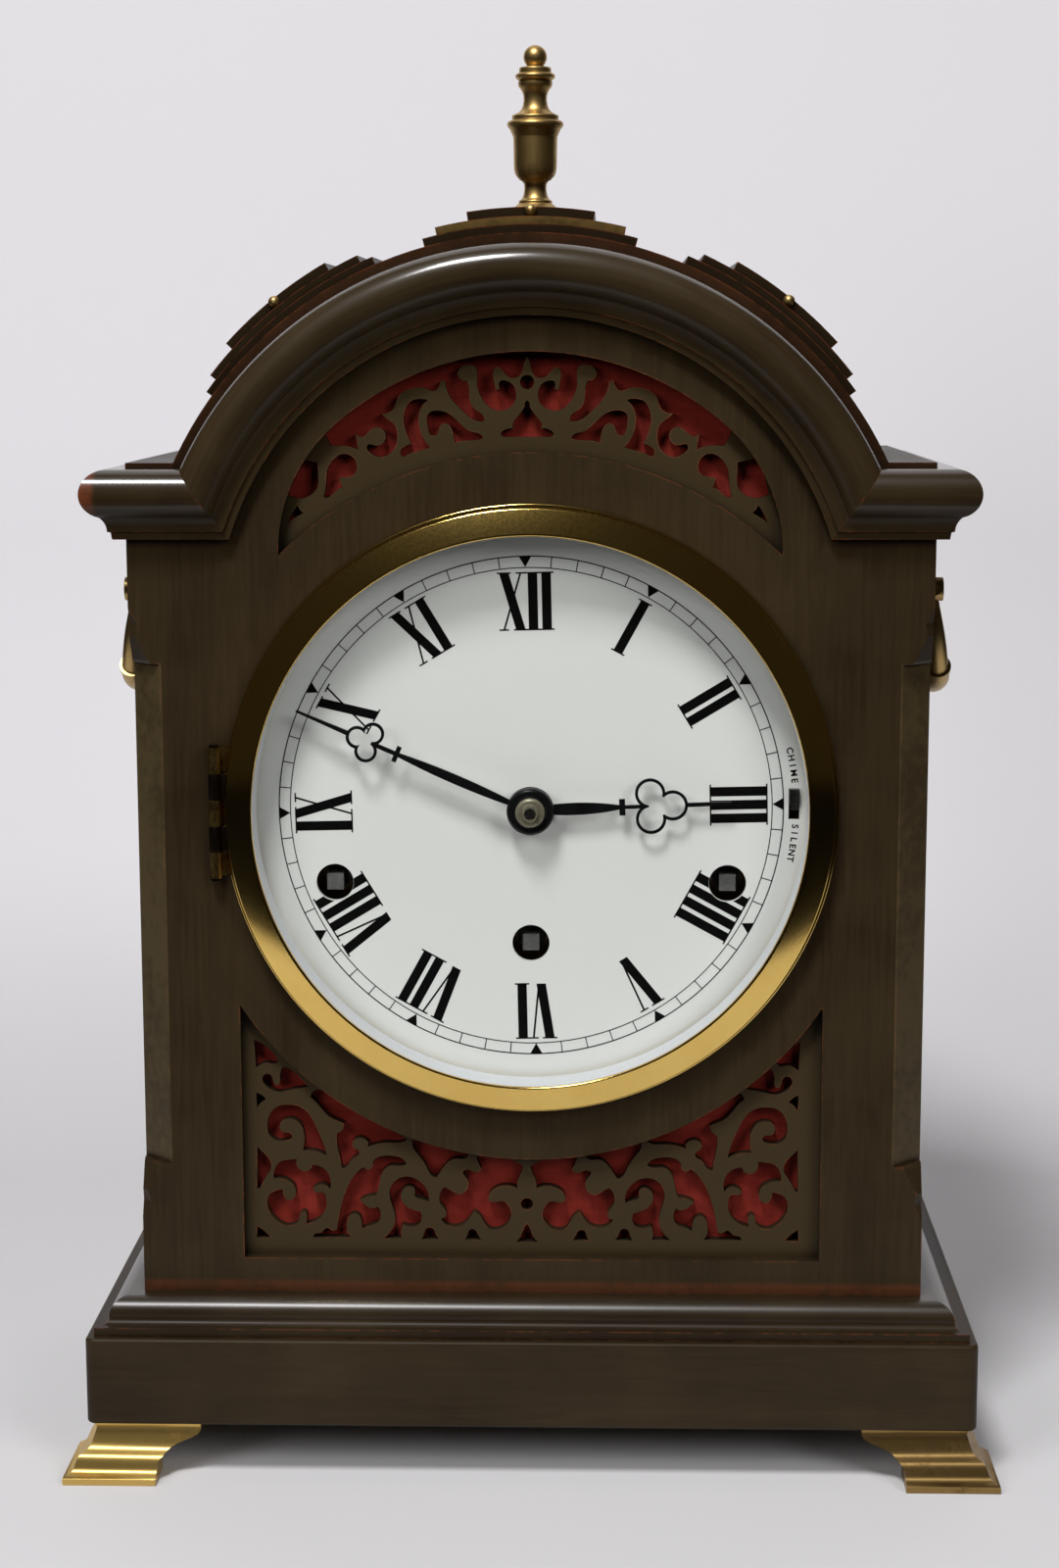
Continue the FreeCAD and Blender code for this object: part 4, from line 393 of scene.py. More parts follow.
finial = spun("turned_finial", FINIAL_FOOT + FINIAL_STEM + FINIAL_URN + FINIAL_RIM + FINIAL_NECK
              + FINIAL_COLLAR + FINIAL_BALL)
finial.data.transform(Matrix.Translation(FINIAL_SEAT))
finial.data.materials.append(aged_brass)
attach(finial, "case")
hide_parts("finial")


# Bracket feet: brass castings with an ogee front between two scrolled ends, filed and polished, and
# screwed under the block's corners. Those on the left are coloured brighter, partly as a painted
# reflection; those on the right darker, partly tarnish and partly painted shade.
foot_brass = brass("foot_brass", (0.72, 0.49, 0.15), (0.38, 0.22, 0.07), 0.38, 0.2)
foot_brass_tarnish_and_shade = brass("foot_brass_tarnish_and_shade", (0.34, 0.22, 0.08), (0.12, 0.065, 0.026), 0.38, 0.5)
# The ogee, as (how far it stands out from the block, height)
FOOT_LEVELS = [(5.6, 0.0), (5.8, 0.2), (5.8, 1.9), (5.65, 2.05), (4.6, 2.45), (3.8, 2.85), (3.35, 3.3),
               (3.05, 4.0), (2.75, 4.9), (2.4, 5.8), (2.1, 6.4), (1.75, 6.85), (1.3, 7.15), (0.4, 7.6),
               (-0.3, 8.05), (-0.75, 8.6), (-1.2, 9.6), (-1.65, 10.8), (-2.0, 11.9), (-2.3, 12.9),
               (-2.45, 13.6), (-2.2, 14.0), (-2.15, 14.6), (-2.4, 15.0)]
# The scrolled end of a wing, as (height, how far it lies from the block's corner)
SCROLL = [(0.0, 19.3), (5.3, 19.3), (6.4, 20.4), (7.6, 21.6), (8.8, 23.2), (9.7, 25.2), (10.4, 27.2),
          (11.2, 29.2), (12.2, 30.5), (13.0, 30.7), (15.0, 30.7)]
BLOCK_HALF_WIDTH = 120.0
BLOCK_HALF_DEPTH = 73.0
FOOT_WALL = 7.0
FOOT_SIDES = 6


def scroll_end(height):
    """How far a wing reaches from the block's corner at a height."""
    runs = zip(SCROLL, SCROLL[1:])
    (low, near), (high, far) = next(run for run in runs if height <= run[1][0])
    return near + (far - near) * (height - low) / (high - low)


def bracket_foot(node, right, front):
    """An ogee wall round one corner of the block, its two wings ending in scrolls."""
    bpy.ops.object.select_all(action="DESELECT")
    bpy.ops.mesh.primitive_grid_add(x_subdivisions=FOOT_SIDES, y_subdivisions=len(FOOT_LEVELS) - 1, size=1)
    foot = bpy.context.object
    foot.name = "ogee_" + node
    for vertex in foot.data.vertices:
        corner = round((vertex.co.x + 0.5) * FOOT_SIDES) % FOOT_SIDES
        out, height = FOOT_LEVELS[round((vertex.co.y + 0.5) * (len(FOOT_LEVELS) - 1))]
        wing = scroll_end(height)
        # How far in from the block's side and from its front, round the wall
        beside, before = [(wing, -out), (-out, -out), (-out, wing), (FOOT_WALL, wing),
                          (FOOT_WALL, FOOT_WALL), (wing, FOOT_WALL)][corner]
        vertex.co = (right * (BLOCK_HALF_WIDTH - beside) / 1000,
                     -front * (BLOCK_HALF_DEPTH - before) / 1000, height / 1000)
    bpy.ops.object.mode_set(mode="EDIT")
    bpy.ops.mesh.select_all(action="SELECT")
    bpy.ops.mesh.remove_doubles(threshold=0.00002)
    bpy.ops.mesh.fill_holes(sides=FOOT_SIDES)
    bpy.ops.mesh.select_all(action="SELECT")
    bpy.ops.mesh.normals_make_consistent(inside=False)
    bpy.ops.object.mode_set(mode="OBJECT")
    bpy.ops.object.shade_smooth_by_angle(angle=SMOOTH_UNDER)
    foot.data.materials.append(foot_brass if right < 0 else foot_brass_tarnish_and_shade)
    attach(foot, "case")
    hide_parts(node)


for right, side in ((1, "right"), (-1, "left")):
    for front, end in ((1, "front"), (-1, "rear")):
        bracket_foot(end + "_" + side + "_foot", right, front)


# Bezel: a spun and turned brass ring, polished and lacquered, hinged on the left. The glass is held
# behind its lip; the hinge's fixed leaf is let into the front board.
DIAL_CENTRE = Vector((0, 0, 0.1808))
BOARD_FACE = -0.0587
BEZEL_OUTER_EDGE = (0.0800, 0.0810)
BEZEL_BORE = (0.0734, 0.0732)
GLASS_LIP = (-0.0652, -0.0650)
BRIGHT_BRASS = (0.84, 0.58, 0.17)
DEEP_BRASS = (0.76, 0.50, 0.13)
BRASS_SPOTS = (0.10, 0.05, 0.02)
WALL_WHITE = (0.62, 0.63, 0.66)


def bezel_finish():
    """Polished brass in front of the glass; the wall behind the glass is painted white like the dial."""
    material, shader, spot = finish("bezel_brass")
    x, y, z = spot.parts()
    radius = round_distance(x, z, DIAL_CENTRE.z)
    scratch = spot.noise(1500, 3, 0.6)
    tone = (spot.noise(60, 3) * 0.6 + scratch * 0.4).between(0.35, 0.8)
    spots = spot.noise(500, 2).between(0.73, 0.76) * radius.between(*BEZEL_OUTER_EDGE)
    gold = spots.colours(tone.colours(BRIGHT_BRASS, DEEP_BRASS), BRASS_SPOTS)
    inside = radius.between(*BEZEL_BORE) * y.between(*GLASS_LIP)
    feed(shader, base_color=inside.colours(gold, WALL_WHITE), metallic=1 - inside,
         roughness=scratch * 0.08 + 0.1 + inside * 0.3 + spots * 0.3, normal=scratch.bump(0.02, 0.0002))
    return material


# The ring's section, as (radius, height before the board)
BEZEL_PROFILE = [(74.8, 0.3), (81.5, 0.3), (81.5, 1.2)]
BEZEL_PROFILE += arc_course(81.0, 1.3, 0.5, 0, 90, 4)
BEZEL_PROFILE += [(80.55, 1.85), (80.5, 2.2), (80.45, 4.1)]
BEZEL_PROFILE += arc_course(79.85, 4.1, 0.6, 0, 70, 6)
BEZEL_PROFILE += [(74.1, 6.9)]
BEZEL_PROFILE += arc_course(73.75, 6.55, 0.45, 70, 180, 6)
BEZEL_PROFILE += [(73.3, 6.36), (73.15, 6.36), (73.15, -3.4), (74.8, -3.4), (74.8, 0.3)]
stand_up = Matrix.Rotation(math.radians(90), 4, "X")
bezel = spun("bezel_turned", BEZEL_PROFILE, 160)
bezel.data.transform(Matrix.Translation(DIAL_CENTRE + Vector((0, BOARD_FACE, 0))) @ stand_up)
bezel.data.materials.append(bezel_finish())
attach(bezel, "bezel")
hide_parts("bezel_ring")


HINGE_FOOT = 0.1633
KNUCKLE_PAIR = 0.0140
KNUCKLE_LEVELS = {"low": 0.1738, "high": 0.1878}
KNUCKLE_X = -0.0834
KNUCKLE_Y = -0.0615
KNUCKLE_RADIUS = 0.0016
KNUCKLE_LENGTH = 0.0068
WEB_SET_BACK = 0.0007
WEB_THICKNESS = 0.0012


def hinge_brass_and_shade():
    """Brass that shines only on the leaf's three knuckles; the bezel's own two are painted almost black as
    painted shade.
    """
    material, shader, spot = finish("hinge_brass_and_shade", {"Metallic": 1.0})
    level = spot.parts()[2]
    # Painted shade: every other knuckle's band of height is coloured nearly black.
    dark = spot.maths("FRACT", (level - HINGE_FOOT) / KNUCKLE_PAIR).between(0.49, 0.51)
    scratch = spot.noise(1300, 3, 0.6)
    worn = (scratch * 0.6 + spot.noise(300, 2) * 0.5).between(0.3, 0.8)
    shine = worn.colours((0.20, 0.125, 0.045), (0.55, 0.38, 0.13))
    feed(shader, base_color=dark.colours(shine, (0.020, 0.013, 0.008)),
         roughness=worn * 0.15 + 0.26 + dark * 0.2, normal=scratch.bump(0.06, 0.0002))
    return material


hinge_brass = hinge_brass_and_shade()
dress(hinge_brass, "bezel_hinge_leaf", "bezel_hinge_pin")
for number, level in KNUCKLE_LEVELS.items():
    bpy.ops.object.select_all(action="DESELECT")
    bpy.ops.mesh.primitive_cylinder_add(vertices=32, radius=KNUCKLE_RADIUS, depth=KNUCKLE_LENGTH,
                                        location=(KNUCKLE_X, KNUCKLE_Y, level))
    knuckle = bpy.context.object
    # The web that joins the knuckle to the ring
    web_place = (KNUCKLE_X + KNUCKLE_RADIUS, KNUCKLE_Y + WEB_SET_BACK, level)
    bpy.ops.mesh.primitive_cube_add(size=1, location=web_place,
                                    scale=(KNUCKLE_RADIUS * 2, WEB_THICKNESS, KNUCKLE_LENGTH))
    knuckle.select_set(True)
    bpy.context.view_layer.objects.active = knuckle
    bpy.ops.object.join()
    knuckle.name = "bezel_knuckle_" + number
    bpy.ops.object.transform_apply(location=True, rotation=True, scale=True)
    rounded = knuckle.modifiers.new("rounded", "BEVEL")
    rounded.width = 0.0002
    rounded.segments = 2
    bpy.ops.object.modifier_apply(modifier="rounded")
    bpy.ops.object.shade_smooth_by_angle(angle=SMOOTH_UNDER)
    knuckle.data.materials.append(hinge_brass)
    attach(knuckle, "bezel")
    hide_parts("bezel_ring")


def clear_glass():
    """Glass that only its outer face mirrors, so that the dial behind it stays clear."""
    material = bpy.data.materials.new("dial_glass")
    material.use_nodes = True
    tree = material.node_tree
    tree.nodes.clear()
    start = Shade(tree, None)
    through = start.node("BsdfTransparent", {"Color": (0.975, 0.982, 0.975, 1)})
    shine = start.node("BsdfGlossy", {"Color": (1, 1, 1, 1), "Roughness": 0.02})
    rim = start.node("Fresnel", {"IOR": 1.3})
    outside = 1 - start.node("NewGeometry", {}, output="Backfacing")
    mixed = start.node("MixShader", {0: rim * outside, 1: through, 2: shine})
    end = tree.nodes.new("ShaderNodeOutputMaterial")
    tree.links.new(mixed.socket, end.inputs["Surface"])
    return material


dress(clear_glass(), "bezel_glass")


# Dial: a steel disc enamelled white, pierced for the winding squares and the lever. The minute ring
# and the numerals are printed on it in black; the print sits a little turned, as on the real one.
def dial_enamel():
    material, shader, spot = finish("dial_enamel", {"IOR": 1.5, "Coat Weight": 0.3, "Coat Roughness": 0.12})
    x, _, z = spot.parts()
    radius = round_distance(x, z, DIAL_CENTRE.z)
    cloud = spot.noise(30, 3)
    # Painted shade: the enamel is coloured a little greyer towards its rim, next to the bezel.
    tone = (cloud * 0.6 + radius.between(0.06, 0.0765) * 0.5).between(0.2, 1.1)
    feed(shader, base_color=tone.colours((0.80, 0.80, 0.78), (0.74, 0.74, 0.72)),
         roughness=cloud * 0.1 + 0.26, normal=spot.noise(300, 2).bump(0.02, 0.0002))
    return material


dress(dial_enamel(), "dial_plate")

DIAL_FRONT = -0.0530
PRINT_TURN = math.radians(1.2)
INK_DEPTH = 0.00004
INK_GAP = 0.00001


def black_ink():
    material, shader, spot = finish("black_ink", {"IOR": 1.45, "Specular IOR Level": 0.12})
    worn = spot.noise(700, 3)
    feed(shader, base_color=worn.colours((0.002, 0.002, 0.0025), (0.006, 0.0055, 0.005)),
         roughness=worn * 0.2 + 0.3)
    return material


def printed(name, shapes):
    """A thin printed layer on the dial from flat shapes in millimetres, across and up from its centre."""
    corners = []
    faces = []
    for shape in shapes:
        faces.append(range(len(corners), len(corners) + len(shape)))
        corners += [(across / 1000, 0, up / 1000) for across, up in shape]
    mesh = bpy.data.meshes.new(name)
    mesh.from_pydata(corners, [], faces)
    turn = Matrix.Rotation(-PRINT_TURN, 4, "Y")
    mesh.transform(Matrix.Translation(DIAL_CENTRE + Vector((0, DIAL_FRONT - INK_GAP, 0))) @ turn)
    bm = bmesh.new()
    bm.from_mesh(mesh)
    bmesh.ops.recalc_face_normals(bm, faces=bm.faces)
    for face in bm.faces:
        if face.normal.y > 0:
            face.normal_flip()
    bm.to_mesh(mesh)
    bm.free()
    piece = bpy.data.objects.new(name, mesh)
    bpy.context.collection.objects.link(piece)
    bpy.ops.object.select_all(action="DESELECT")
    bpy.context.view_layer.objects.active = piece
    piece.select_set(True)
    thick = piece.modifiers.new("layer", "SOLIDIFY")
    thick.thickness = INK_DEPTH
    thick.offset = 1
    bpy.ops.object.modifier_apply(modifier="layer")
    return piece


def polar(radius, degrees):
    """Place on the dial, the angle clockwise from the top."""
    turn = math.radians(degrees)
    return radius * math.sin(turn), radius * math.cos(turn)


def ring(radius, width, steps=180):
    """A printed circle as a row of short straight shapes."""
    shapes = []
    for step in range(steps):
        first, last = step * 360 / steps, (step + 1) * 360 / steps
        shapes.append([polar(radius - width / 2, first), polar(radius + width / 2, first),
                       polar(radius + width / 2, last), polar(radius - width / 2, last)])
    return shapes


TRACK_OUTER = 67.3
TRACK_INNER = 64.3
OUTER_LINE = 0.3
INNER_LINE = 0.25
MINUTE_SIDE = math.degrees(0.13 / 66)
WEDGE_SIDE = math.degrees(1.65 / TRACK_OUTER)
WEDGE_POINT = 0.1
minute_ring = ring(TRACK_OUTER, OUTER_LINE) + ring(TRACK_INNER, INNER_LINE)
for minute in range(60):
    turn = minute * 6
    if minute % 5:
        before, after = turn - MINUTE_SIDE, turn + MINUTE_SIDE
        minute_ring.append([polar(TRACK_INNER, before), polar(TRACK_OUTER, before),
                            polar(TRACK_OUTER, after), polar(TRACK_INNER, after)])
    else:
        minute_ring.append([polar(TRACK_OUTER, turn - WEDGE_SIDE), polar(TRACK_OUTER, turn + WEDGE_SIDE),
                            polar(TRACK_INNER + WEDGE_POINT, turn)])
ink = black_ink()
ring_print = printed("minute_ring_print", minute_ring)

NUMERAL_FOOT = 47.9
NUMERAL_TOP = 62.9
THICK = 2.5
THIN = 0.5
SERIF_HALF = 0.2


def stroke(foot_x, top_x, width):
    """A straight stroke from the numeral's foot to its top."""
    half = width / 2
    return [(foot_x - half, NUMERAL_FOOT), (foot_x + half, NUMERAL_FOOT),
            (top_x + half, NUMERAL_TOP), (top_x - half, NUMERAL_TOP)]


def serif(middle, width, level):
    half = width / 2
    return [(middle - half, level - SERIF_HALF), (middle + half, level - SERIF_HALF),
            (middle + half, level + SERIF_HALF), (middle - half, level + SERIF_HALF)]


# Each letter's width, and its strokes about its own middle
LETTERS = {
    "I": (3.6, [stroke(0, 0, THICK), serif(0, 3.9, NUMERAL_FOOT), serif(0, 3.9, NUMERAL_TOP)]),
    "V": (6.9, [stroke(0.1, -2.0, THICK), stroke(0.7, 2.4, THIN),
                serif(-2.0, 3.9, NUMERAL_TOP), serif(2.3, 2.4, NUMERAL_TOP)]),
    "X": (7.3, [stroke(2.1, -2.1, THICK), stroke(-2.3, 2.3, THIN),
                serif(2.1, 3.7, NUMERAL_FOOT), serif(-2.3, 2.5, NUMERAL_FOOT),
                serif(-2.1, 3.7, NUMERAL_TOP), serif(2.3, 2.5, NUMERAL_TOP)]),
}
NUMERALS = ["XII", "I", "II", "III", "IIII", "V", "VI", "VII", "VIII", "IX", "X", "XI"]
numeral_shapes = []
for hour, numeral in enumerate(NUMERALS):
    turn = math.radians(hour * 30)
    left = -sum(LETTERS[letter][0] for letter in numeral) / 2
    for letter in numeral:
        width, strokes = LETTERS[letter]
        middle = left + width / 2
        for shape in strokes:
            numeral_shapes.append([((across + middle) * math.cos(turn) + up * math.sin(turn),
                                    up * math.cos(turn) - (across + middle) * math.sin(turn))
                                   for across, up in shape])
        left += width
numeral_print = printed("numeral_print", numeral_shapes)

# The winding holes are drilled through the print
WINDING_HOLES = [(-0.0526, 0.1606), (0.0, 0.1441), (0.0526, 0.1606)]
HOLE_RADIUS = 0.00505
for across, level in WINDING_HOLES:
    bpy.ops.object.select_all(action="DESELECT")
    bpy.ops.mesh.primitive_cylinder_add(radius=HOLE_RADIUS, depth=0.01, vertices=48,
                                        location=(across, DIAL_FRONT, level), rotation=(math.pi / 2, 0, 0))
    drill = bpy.context.object
    drilled = numeral_print.modifiers.new("drilled", "BOOLEAN")
    drilled.object = drill
    drilled.solver = "EXACT"
    drilled.use_self = True
    bpy.context.view_layer.objects.active = numeral_print
    bpy.ops.object.modifier_apply(modifier="drilled")
    bpy.data.objects.remove(drill)


WORD_RADIUS = 69.8
WORD_HEIGHT = 1.75
CAPITAL_SHARE = 0.73
WORD_WEIGHT = 0.00007


def lettering(name, word, degrees, spread):
    """A word round the dial's rim, one letter at a time, each made a mesh before it is put in place."""
    letters = []
    for number, letter in enumerate(word):
        bpy.ops.object.select_all(action="DESELECT")
        bpy.ops.object.text_add()
        text = bpy.context.object
        text.data.body = letter
        text.data.size = WORD_HEIGHT / CAPITAL_SHARE / 1000
        text.data.align_x = "CENTER"
        text.data.extrude = INK_DEPTH / 2
        text.data.offset = WORD_WEIGHT
        bpy.ops.object.convert(target="MESH")
        turn = degrees + (number - (len(word) - 1) / 2) * spread
        x, z = polar(WORD_RADIUS, turn)
        stand = Matrix.Rotation(math.radians(90), 4, "X")
        face = Matrix.Rotation(math.radians(turn), 4, "Y")
        lie = Matrix.Translation(DIAL_CENTRE + Vector((x / 1000, DIAL_FRONT, z / 1000)))
        text.data.transform(lie @ face @ stand)
        letters.append(text)
    bpy.ops.object.select_all(action="DESELECT")
    for letter in letters:
        letter.select_set(True)
    bpy.context.view_layer.objects.active = letters[0]
    bpy.ops.object.join()
    letters[0].name = name
    return letters[0]


chime_word = lettering("chime_word", "CHIME", 80.4, 1.66)
silent_word = lettering("silent_word", "SILENT", 97.4, 1.45)
for piece in (ring_print, numeral_print, chime_word, silent_word):
    piece.data.materials.clear()
    piece.data.materials.append(ink)
    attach(piece, "case")


# Chime and silent lever: a small steel tongue that comes through a slot of the dial near three o'clock
# and slides down from one word to the other.
def steel(name, dark, light, rough, metal=1.0, gloss=0.5):
    """Steel from bright to blacked; metal is below 1 where oil and dust dull it."""
    material, shader, spot = finish(name, {"Metallic": metal, "IOR": 1.5, "Specular IOR Level": gloss})
    scratch = spot.stretched(1, 0.3, 1).noise(1600, 3, 0.6)
    cloud = spot.noise(240, 3)
    tone = (scratch * 0.5 + cloud * 0.6).between(0.3, 0.8)
    feed(shader, base_color=tone.colours(dark, light), roughness=scratch * 0.16 + (rough - 0.08),
         normal=scratch.bump(0.05, 0.0002))
    return material


slide_steel = steel("slide_steel", (0.10, 0.10, 0.095), (0.24, 0.235, 0.22), 0.3)
dress(slide_steel, "chime_lever")


# Movement and hands: brass plates, pillars, barrels and wheels, the arbors of steel. The hands are sawn
# from sheet steel, blacked, and held by a turned steel nut on the centre arbor.
black_steel = steel("black_steel_finish", (0.003, 0.003, 0.0035), (0.008, 0.008, 0.009), 0.3, 0.0, 0.2)
dress(black_steel, "hour_hand", "minute_hand", "hand_bush")
bright_steel = steel("bright_steel", (0.30, 0.29, 0.27), (0.52, 0.51, 0.48), 0.28)
dress(bright_steel, "cannon_pinion", "centre_arbor")
arbor_steel = steel("arbor_steel", (0.11, 0.11, 0.105), (0.26, 0.255, 0.245), 0.42, 0.5)
dress(arbor_steel, "strike_arbor", "time_arbor", "chime_arbor")
nut_steel = steel("nut_steel", (0.16, 0.145, 0.10), (0.32, 0.29, 0.21), 0.4, 0.5)
dress(nut_steel, "hand_nut")
wheel_brass = brass("wheel_brass", (0.74, 0.52, 0.20), (0.42, 0.27, 0.10), 0.24, 0.2)
dress(wheel_brass, "minute_wheel", "hour_wheel", "front_plate", "back_plate", "movement_pillars",
      "strike_barrel", "time_barrel", "chime_barrel")


# Frets: thin boards sawn through with a fine blade and let into rebates behind the front board. They
# are painted like the case, a shade paler and little worn, because they lie back from the hand.
fret_paint = painted_wood("fret_paint", "X", olive=0.9, wear=0.2, rough=0.52)
dress(fret_paint, "lower_fret", "upper_fret")


# Red cloths: plain-woven red silk, cut to the rebates, stretched flat and glued behind each fret, so
# that it keeps dust out and lets sound pass.
THREADS = 9000


def red_silk():
    material, shader, spot = finish("red_silk", {"IOR": 1.35, "Specular IOR Level": 0.15})
    x, _, z = spot.parts()
    warp = spot.maths("SINE", x * THREADS)
    weft = spot.maths("SINE", z * THREADS)
    slub = spot.stretched(0.05, 1, 1).noise(1200, 2) + spot.stretched(1, 1, 0.05).noise(1200, 2)
    weave = warp * weft * 0.25 + slub * 0.5
    tone = (weave * 0.5 + spot.noise(45, 3) * 0.6).between(0.25, 1.0)
    feed(shader, base_color=tone.colours((0.130, 0.0130, 0.0090), (0.250, 0.0300, 0.0200)),
         roughness=weave * 0.15 + 0.6, normal=weave.bump(0.25, 0.0002))
    return material


CLOTH_MIDDLE = -0.0519
CLOTH_ROWS = 26
CLOTH_HOLLOW = 0.00007
silk = red_silk()


def stretched_cloth(name, node, low_edge, high_edge):
    """Cloth between two edges, with the slight hollows that it has away from where it is glued."""
    bpy.ops.object.select_all(action="DESELECT")
    bpy.ops.mesh.primitive_grid_add(x_subdivisions=len(low_edge) - 1, y_subdivisions=CLOTH_ROWS, size=1)
    cloth = bpy.context.object
    cloth.name = name
    for vertex in cloth.data.vertices:
        column = round((vertex.co.x + 0.5) * (len(low_edge) - 1))
        share = vertex.co.y + 0.5
        across, up = (start * (1 - share) + end * share
                      for start, end in zip(low_edge[column], high_edge[column]))
        free = math.sin(share * math.pi) * math.cos(vertex.co.x * math.pi)
        ripple = math.sin(across / 5.2 + up / 11) * math.sin(up / 6.1 - across / 17)
        vertex.co = (across / 1000, CLOTH_MIDDLE + free * ripple * CLOTH_HOLLOW, up / 1000)
    bpy.ops.object.mode_set(mode="EDIT")
    bpy.ops.mesh.select_all(action="SELECT")
    bpy.ops.mesh.remove_doubles(threshold=0.00002)
    bpy.ops.object.mode_set(mode="OBJECT")
    bpy.ops.object.shade_smooth()
    cloth.data.materials.append(silk)
    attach(cloth, "case")
    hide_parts(node)


CLOTH_COLUMNS = 100
LOWER_HALF = 82.0
LOWER_FOOT = 53.5
LOWER_HOLLOW_LEVEL = 178.5
LOWER_HOLLOW_RADIUS = 89.1
places = [LOWER_HALF * (2 * step / CLOTH_COLUMNS - 1) for step in range(CLOTH_COLUMNS + 1)]
straight_foot = [(across, LOWER_FOOT) for across in places]
hollow_top = [(across, LOWER_HOLLOW_LEVEL - math.sqrt(LOWER_HOLLOW_RADIUS ** 2 - across ** 2))
              for across in places]
stretched_cloth("lower_silk", "lower_cloth", straight_foot, hollow_top)

# The upper cloth's top is an arch of three arcs, and its foot is hollowed round the dial
HAUNCH_ACROSS = 22.57
HAUNCH_LEVEL = 248.27
HAUNCH_RADIUS = 48.185
CROWN_LEVEL = 223.51
CROWN_RADIUS = 81.662
UPPER_HOLLOW_LEVEL = 180.8
UPPER_HOLLOW_RADIUS = 90.7
basket_arch = arc_course(-HAUNCH_ACROSS, HAUNCH_LEVEL, HAUNCH_RADIUS, 191.4, 129.2, 26)
basket_arch += arc_course(0, CROWN_LEVEL, CROWN_RADIUS, 130.5, 49.5, 48)[1:]
basket_arch += arc_course(HAUNCH_ACROSS, HAUNCH_LEVEL, HAUNCH_RADIUS, 50.8, -11.4, 26)[1:]
round_foot = arc_course(0, UPPER_HOLLOW_LEVEL, UPPER_HOLLOW_RADIUS, 140.31, 39.69, CLOTH_COLUMNS)
stretched_cloth("upper_silk", "upper_cloth", round_foot, basket_arch)


# Carrying handles: a cast brass bail at each side, thicker at its grip, hung between two turned posts
# that stand on round roses screwed to the case.
handle_brass = brass("handle_brass", (0.50, 0.35, 0.14), (0.18, 0.11, 0.042), 0.4, 0.35)
dress(handle_brass, "right_bail", "left_bail", "right_posts", "left_posts")


# Back furniture: two brass butt hinges, let into the door and its frame, their pins, and the small
# turned knob that draws the door open. All of it is dull, because nobody polishes the back.
back_brass = brass("back_brass", (0.50, 0.34, 0.13), (0.12, 0.07, 0.03), 0.26, 0.45)
dress(back_brass, "back_hinge_frames", "back_hinge_flaps", "back_hinge_pins", "door_knob")


# Studio: a pale paper floor that runs up into a backdrop, one soft lamp high in front on the left and a
# weaker one low at each side, and the camera where the photographer stood.
PAPER = (0.660, 0.650, 0.665)
PAPER_GLOW = (0.135, 0.130, 0.145)
UNLIT = (0, 0, 0)
PATCH_FRONT = (-0.25, -0.23)
PATCH_SIDES = (0.52, 0.48)


def studio_paper():
    """Pale paper; where it stands up it also glows to the eye and to metal, but lights nothing.
    Beyond the lit patch it is pale to the eye alone, and from behind the eye sees through it."""
    material, shader, spot = finish("studio_paper", {"Roughness": 0.9, "Specular IOR Level": 0.1,
                                                     "Emission Strength": 1.0})
    x, y, z = spot.parts()
    eye = spot.node("LightPath", {}, output="Is Camera Ray")
    through = spot.node("LightPath", {}, output="Is Transmission Ray")
    metal = spot.node("LightPath", {}, output="Is Glossy Ray")
    behind = spot.node("NewGeometry", {}, output="Backfacing")
    patch = y.between(*PATCH_FRONT) * x.maths("ABSOLUTE", x).between(*PATCH_SIDES)
    risen = z.between(0.0, 0.1) - z.between(0.2, 0.7) * 0.4
    # Painted shadow: the glow is halved low on the right of the backdrop, where the clock's shadow falls.
    shaded = x.between(0.08, 0.2) * z.between(0.4, 0.2)
    glow = (eye + through + metal * patch) * risen * (1 - shaded * 0.5)
    pale = spot.noise(2.2, 3).colours(PAPER, tuple(value * 0.97 for value in PAPER))
    shown = spot.maths("ADD", patch, eye + through, clamp=True)
    feed(shader, base_color=shown.colours(UNLIT, pale), emission_color=glow.colours(UNLIT, PAPER_GLOW),
         alpha=1 - eye * behind)
    return material


FLOOR_HALF = 1.8
FLOOR_FRONT = -1.8
BACKDROP = 0.42
BACKDROP_TOP = 2.4
SWEEP = 0.22
SWEEP_STEPS = 16
bpy.ops.object.select_all(action="DESELECT")
bpy.ops.mesh.primitive_plane_add(size=1)
studio = bpy.context.object
studio.name = "studio_floor"
profile = [(FLOOR_FRONT, 0.0), (BACKDROP - SWEEP, 0.0)]
profile += arc_course(BACKDROP - SWEEP, SWEEP, SWEEP, -90, 0, SWEEP_STEPS)[1:]
profile.append((BACKDROP, BACKDROP_TOP))
corners = [(side * FLOOR_HALF, y, z) for y, z in profile for side in (-1, 1)]
faces = [(number * 2, number * 2 + 1, number * 2 + 3, number * 2 + 2) for number in range(len(profile) - 1)]
studio.data.clear_geometry()
studio.data.from_pydata(corners, [], faces)
for polygon in studio.data.polygons:
    polygon.use_smooth = True
studio.data.materials.append(studio_paper())

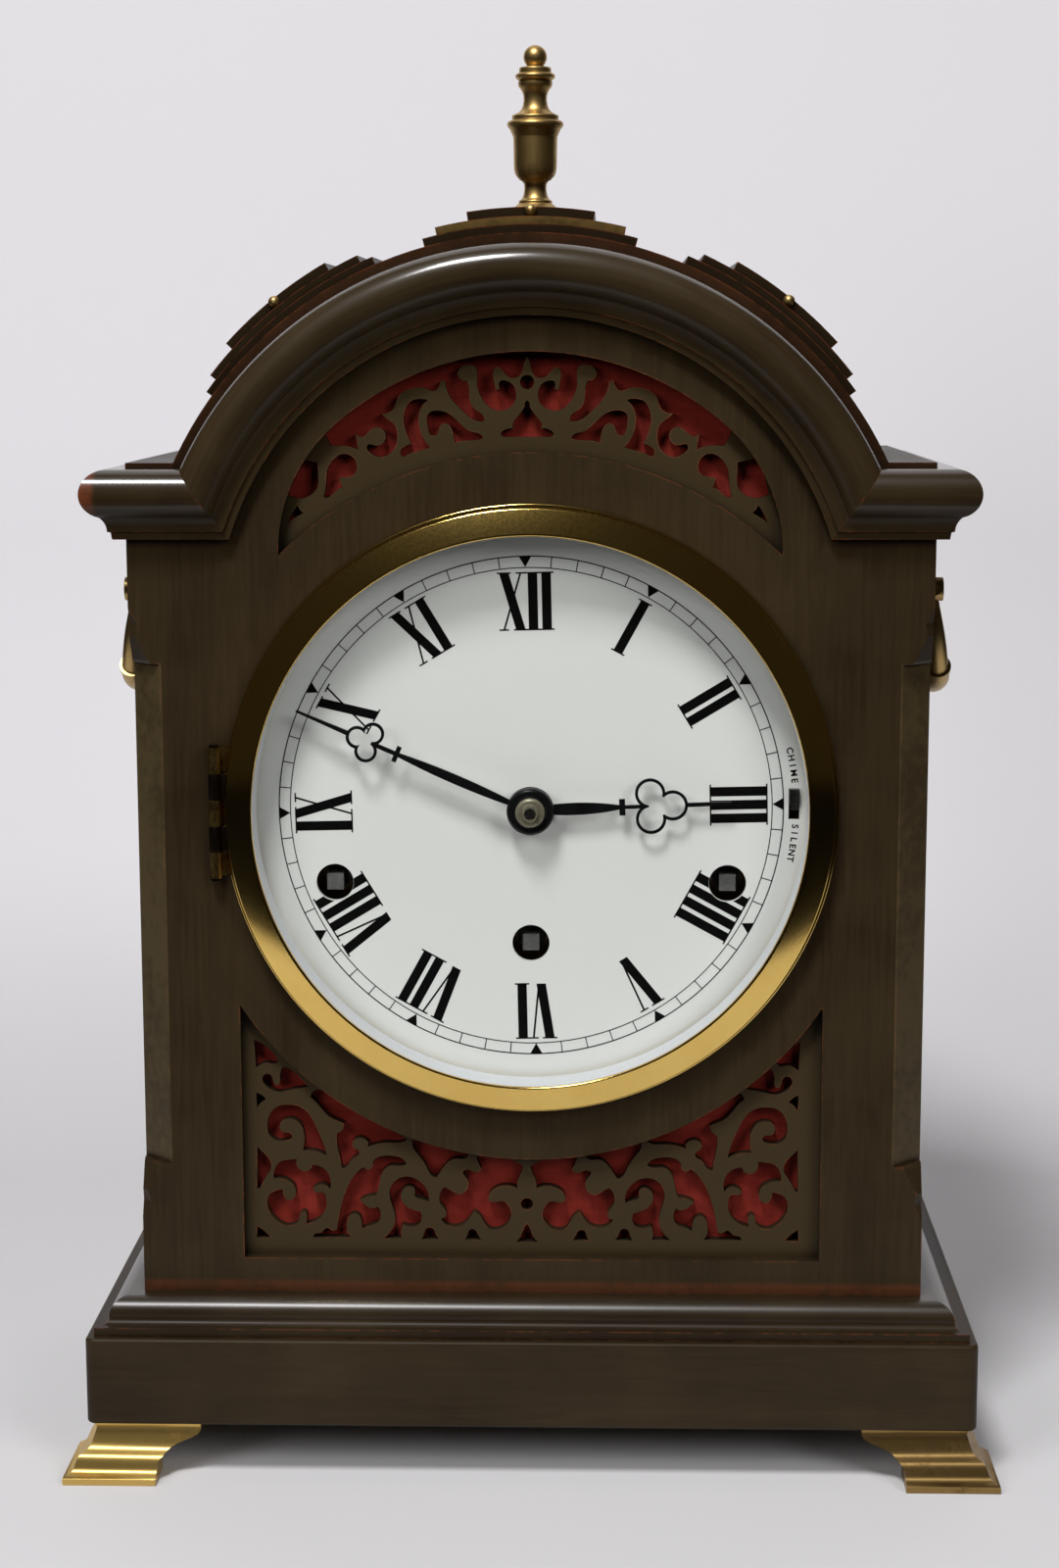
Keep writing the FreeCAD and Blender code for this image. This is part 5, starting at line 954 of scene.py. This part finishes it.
ROOM_LIGHT = (0.0200, 0.0165, 0.0120)
ROOM_SEEN = (0.70, 0.69, 0.71)
world = bpy.data.worlds.new("studio_room")
bpy.context.scene.world = world
world.use_nodes = True
room = Shade(world.node_tree, None)
seen = room.node("LightPath", {}, output="Is Camera Ray")
room_colour = seen.colours(ROOM_LIGHT, ROOM_SEEN)
world.node_tree.links.new(room_colour.socket, world.node_tree.nodes["Background"].inputs["Color"])


LAMP_TARGET = Vector((0, 0, 0.15))


def lamp(name, place, side, watts, mirrored=True):
    """A soft square lamp; unless it is mirrored, polished pieces don't show it."""
    light = bpy.data.lights.new(name, "AREA")
    light.shape = "RECTANGLE"
    light.size = light.size_y = side
    light.energy = watts
    thing = bpy.data.objects.new(name, light)
    thing.visible_glossy = mirrored
    bpy.context.collection.objects.link(thing)
    aim = (LAMP_TARGET - Vector(place)).to_track_quat("-Z", "Y")
    thing.matrix_world = Matrix.Translation(Vector(place)) @ aim.to_matrix().to_4x4()


lamp("key", (-0.34, -0.98, 1.87), 0.42, 30)
lamp("left", (-1.0, -1.2, 0.9), 0.7, 10, mirrored=False)
lamp("right", (1.0, -1.2, 0.9), 0.7, 10, mirrored=False)

CAMERA_PLACE = (0.0196747, -0.76956, 0.3014004)
YAW, PITCH, ROLL = -0.0279, 0.1577, -0.0019
FOCAL_PIXELS = 2779.96
PICTURE_HEIGHT_PIXELS = 1600
camera_data = bpy.data.cameras.new("camera")
camera_data.sensor_width = 36
camera_data.lens = FOCAL_PIXELS * camera_data.sensor_width / PICTURE_HEIGHT_PIXELS
camera_data.clip_start = 0.01
camera = bpy.data.objects.new("camera", camera_data)
bpy.context.collection.objects.link(camera)
ahead = Vector((math.sin(YAW) * math.cos(PITCH), math.cos(YAW) * math.cos(PITCH), -math.sin(PITCH)))
right = Vector((math.cos(YAW), -math.sin(YAW), 0))
up = right.cross(ahead)
right_rolled = math.cos(ROLL) * right + math.sin(ROLL) * up
up_rolled = -math.sin(ROLL) * right + math.cos(ROLL) * up
camera.matrix_world = Matrix((
    (right_rolled.x, up_rolled.x, -ahead.x, CAMERA_PLACE[0]),
    (right_rolled.y, up_rolled.y, -ahead.y, CAMERA_PLACE[1]),
    (right_rolled.z, up_rolled.z, -ahead.z, CAMERA_PLACE[2]),
    (0, 0, 0, 1),
))
bpy.context.scene.camera = camera
bpy.context.scene.view_settings.view_transform = "Standard"
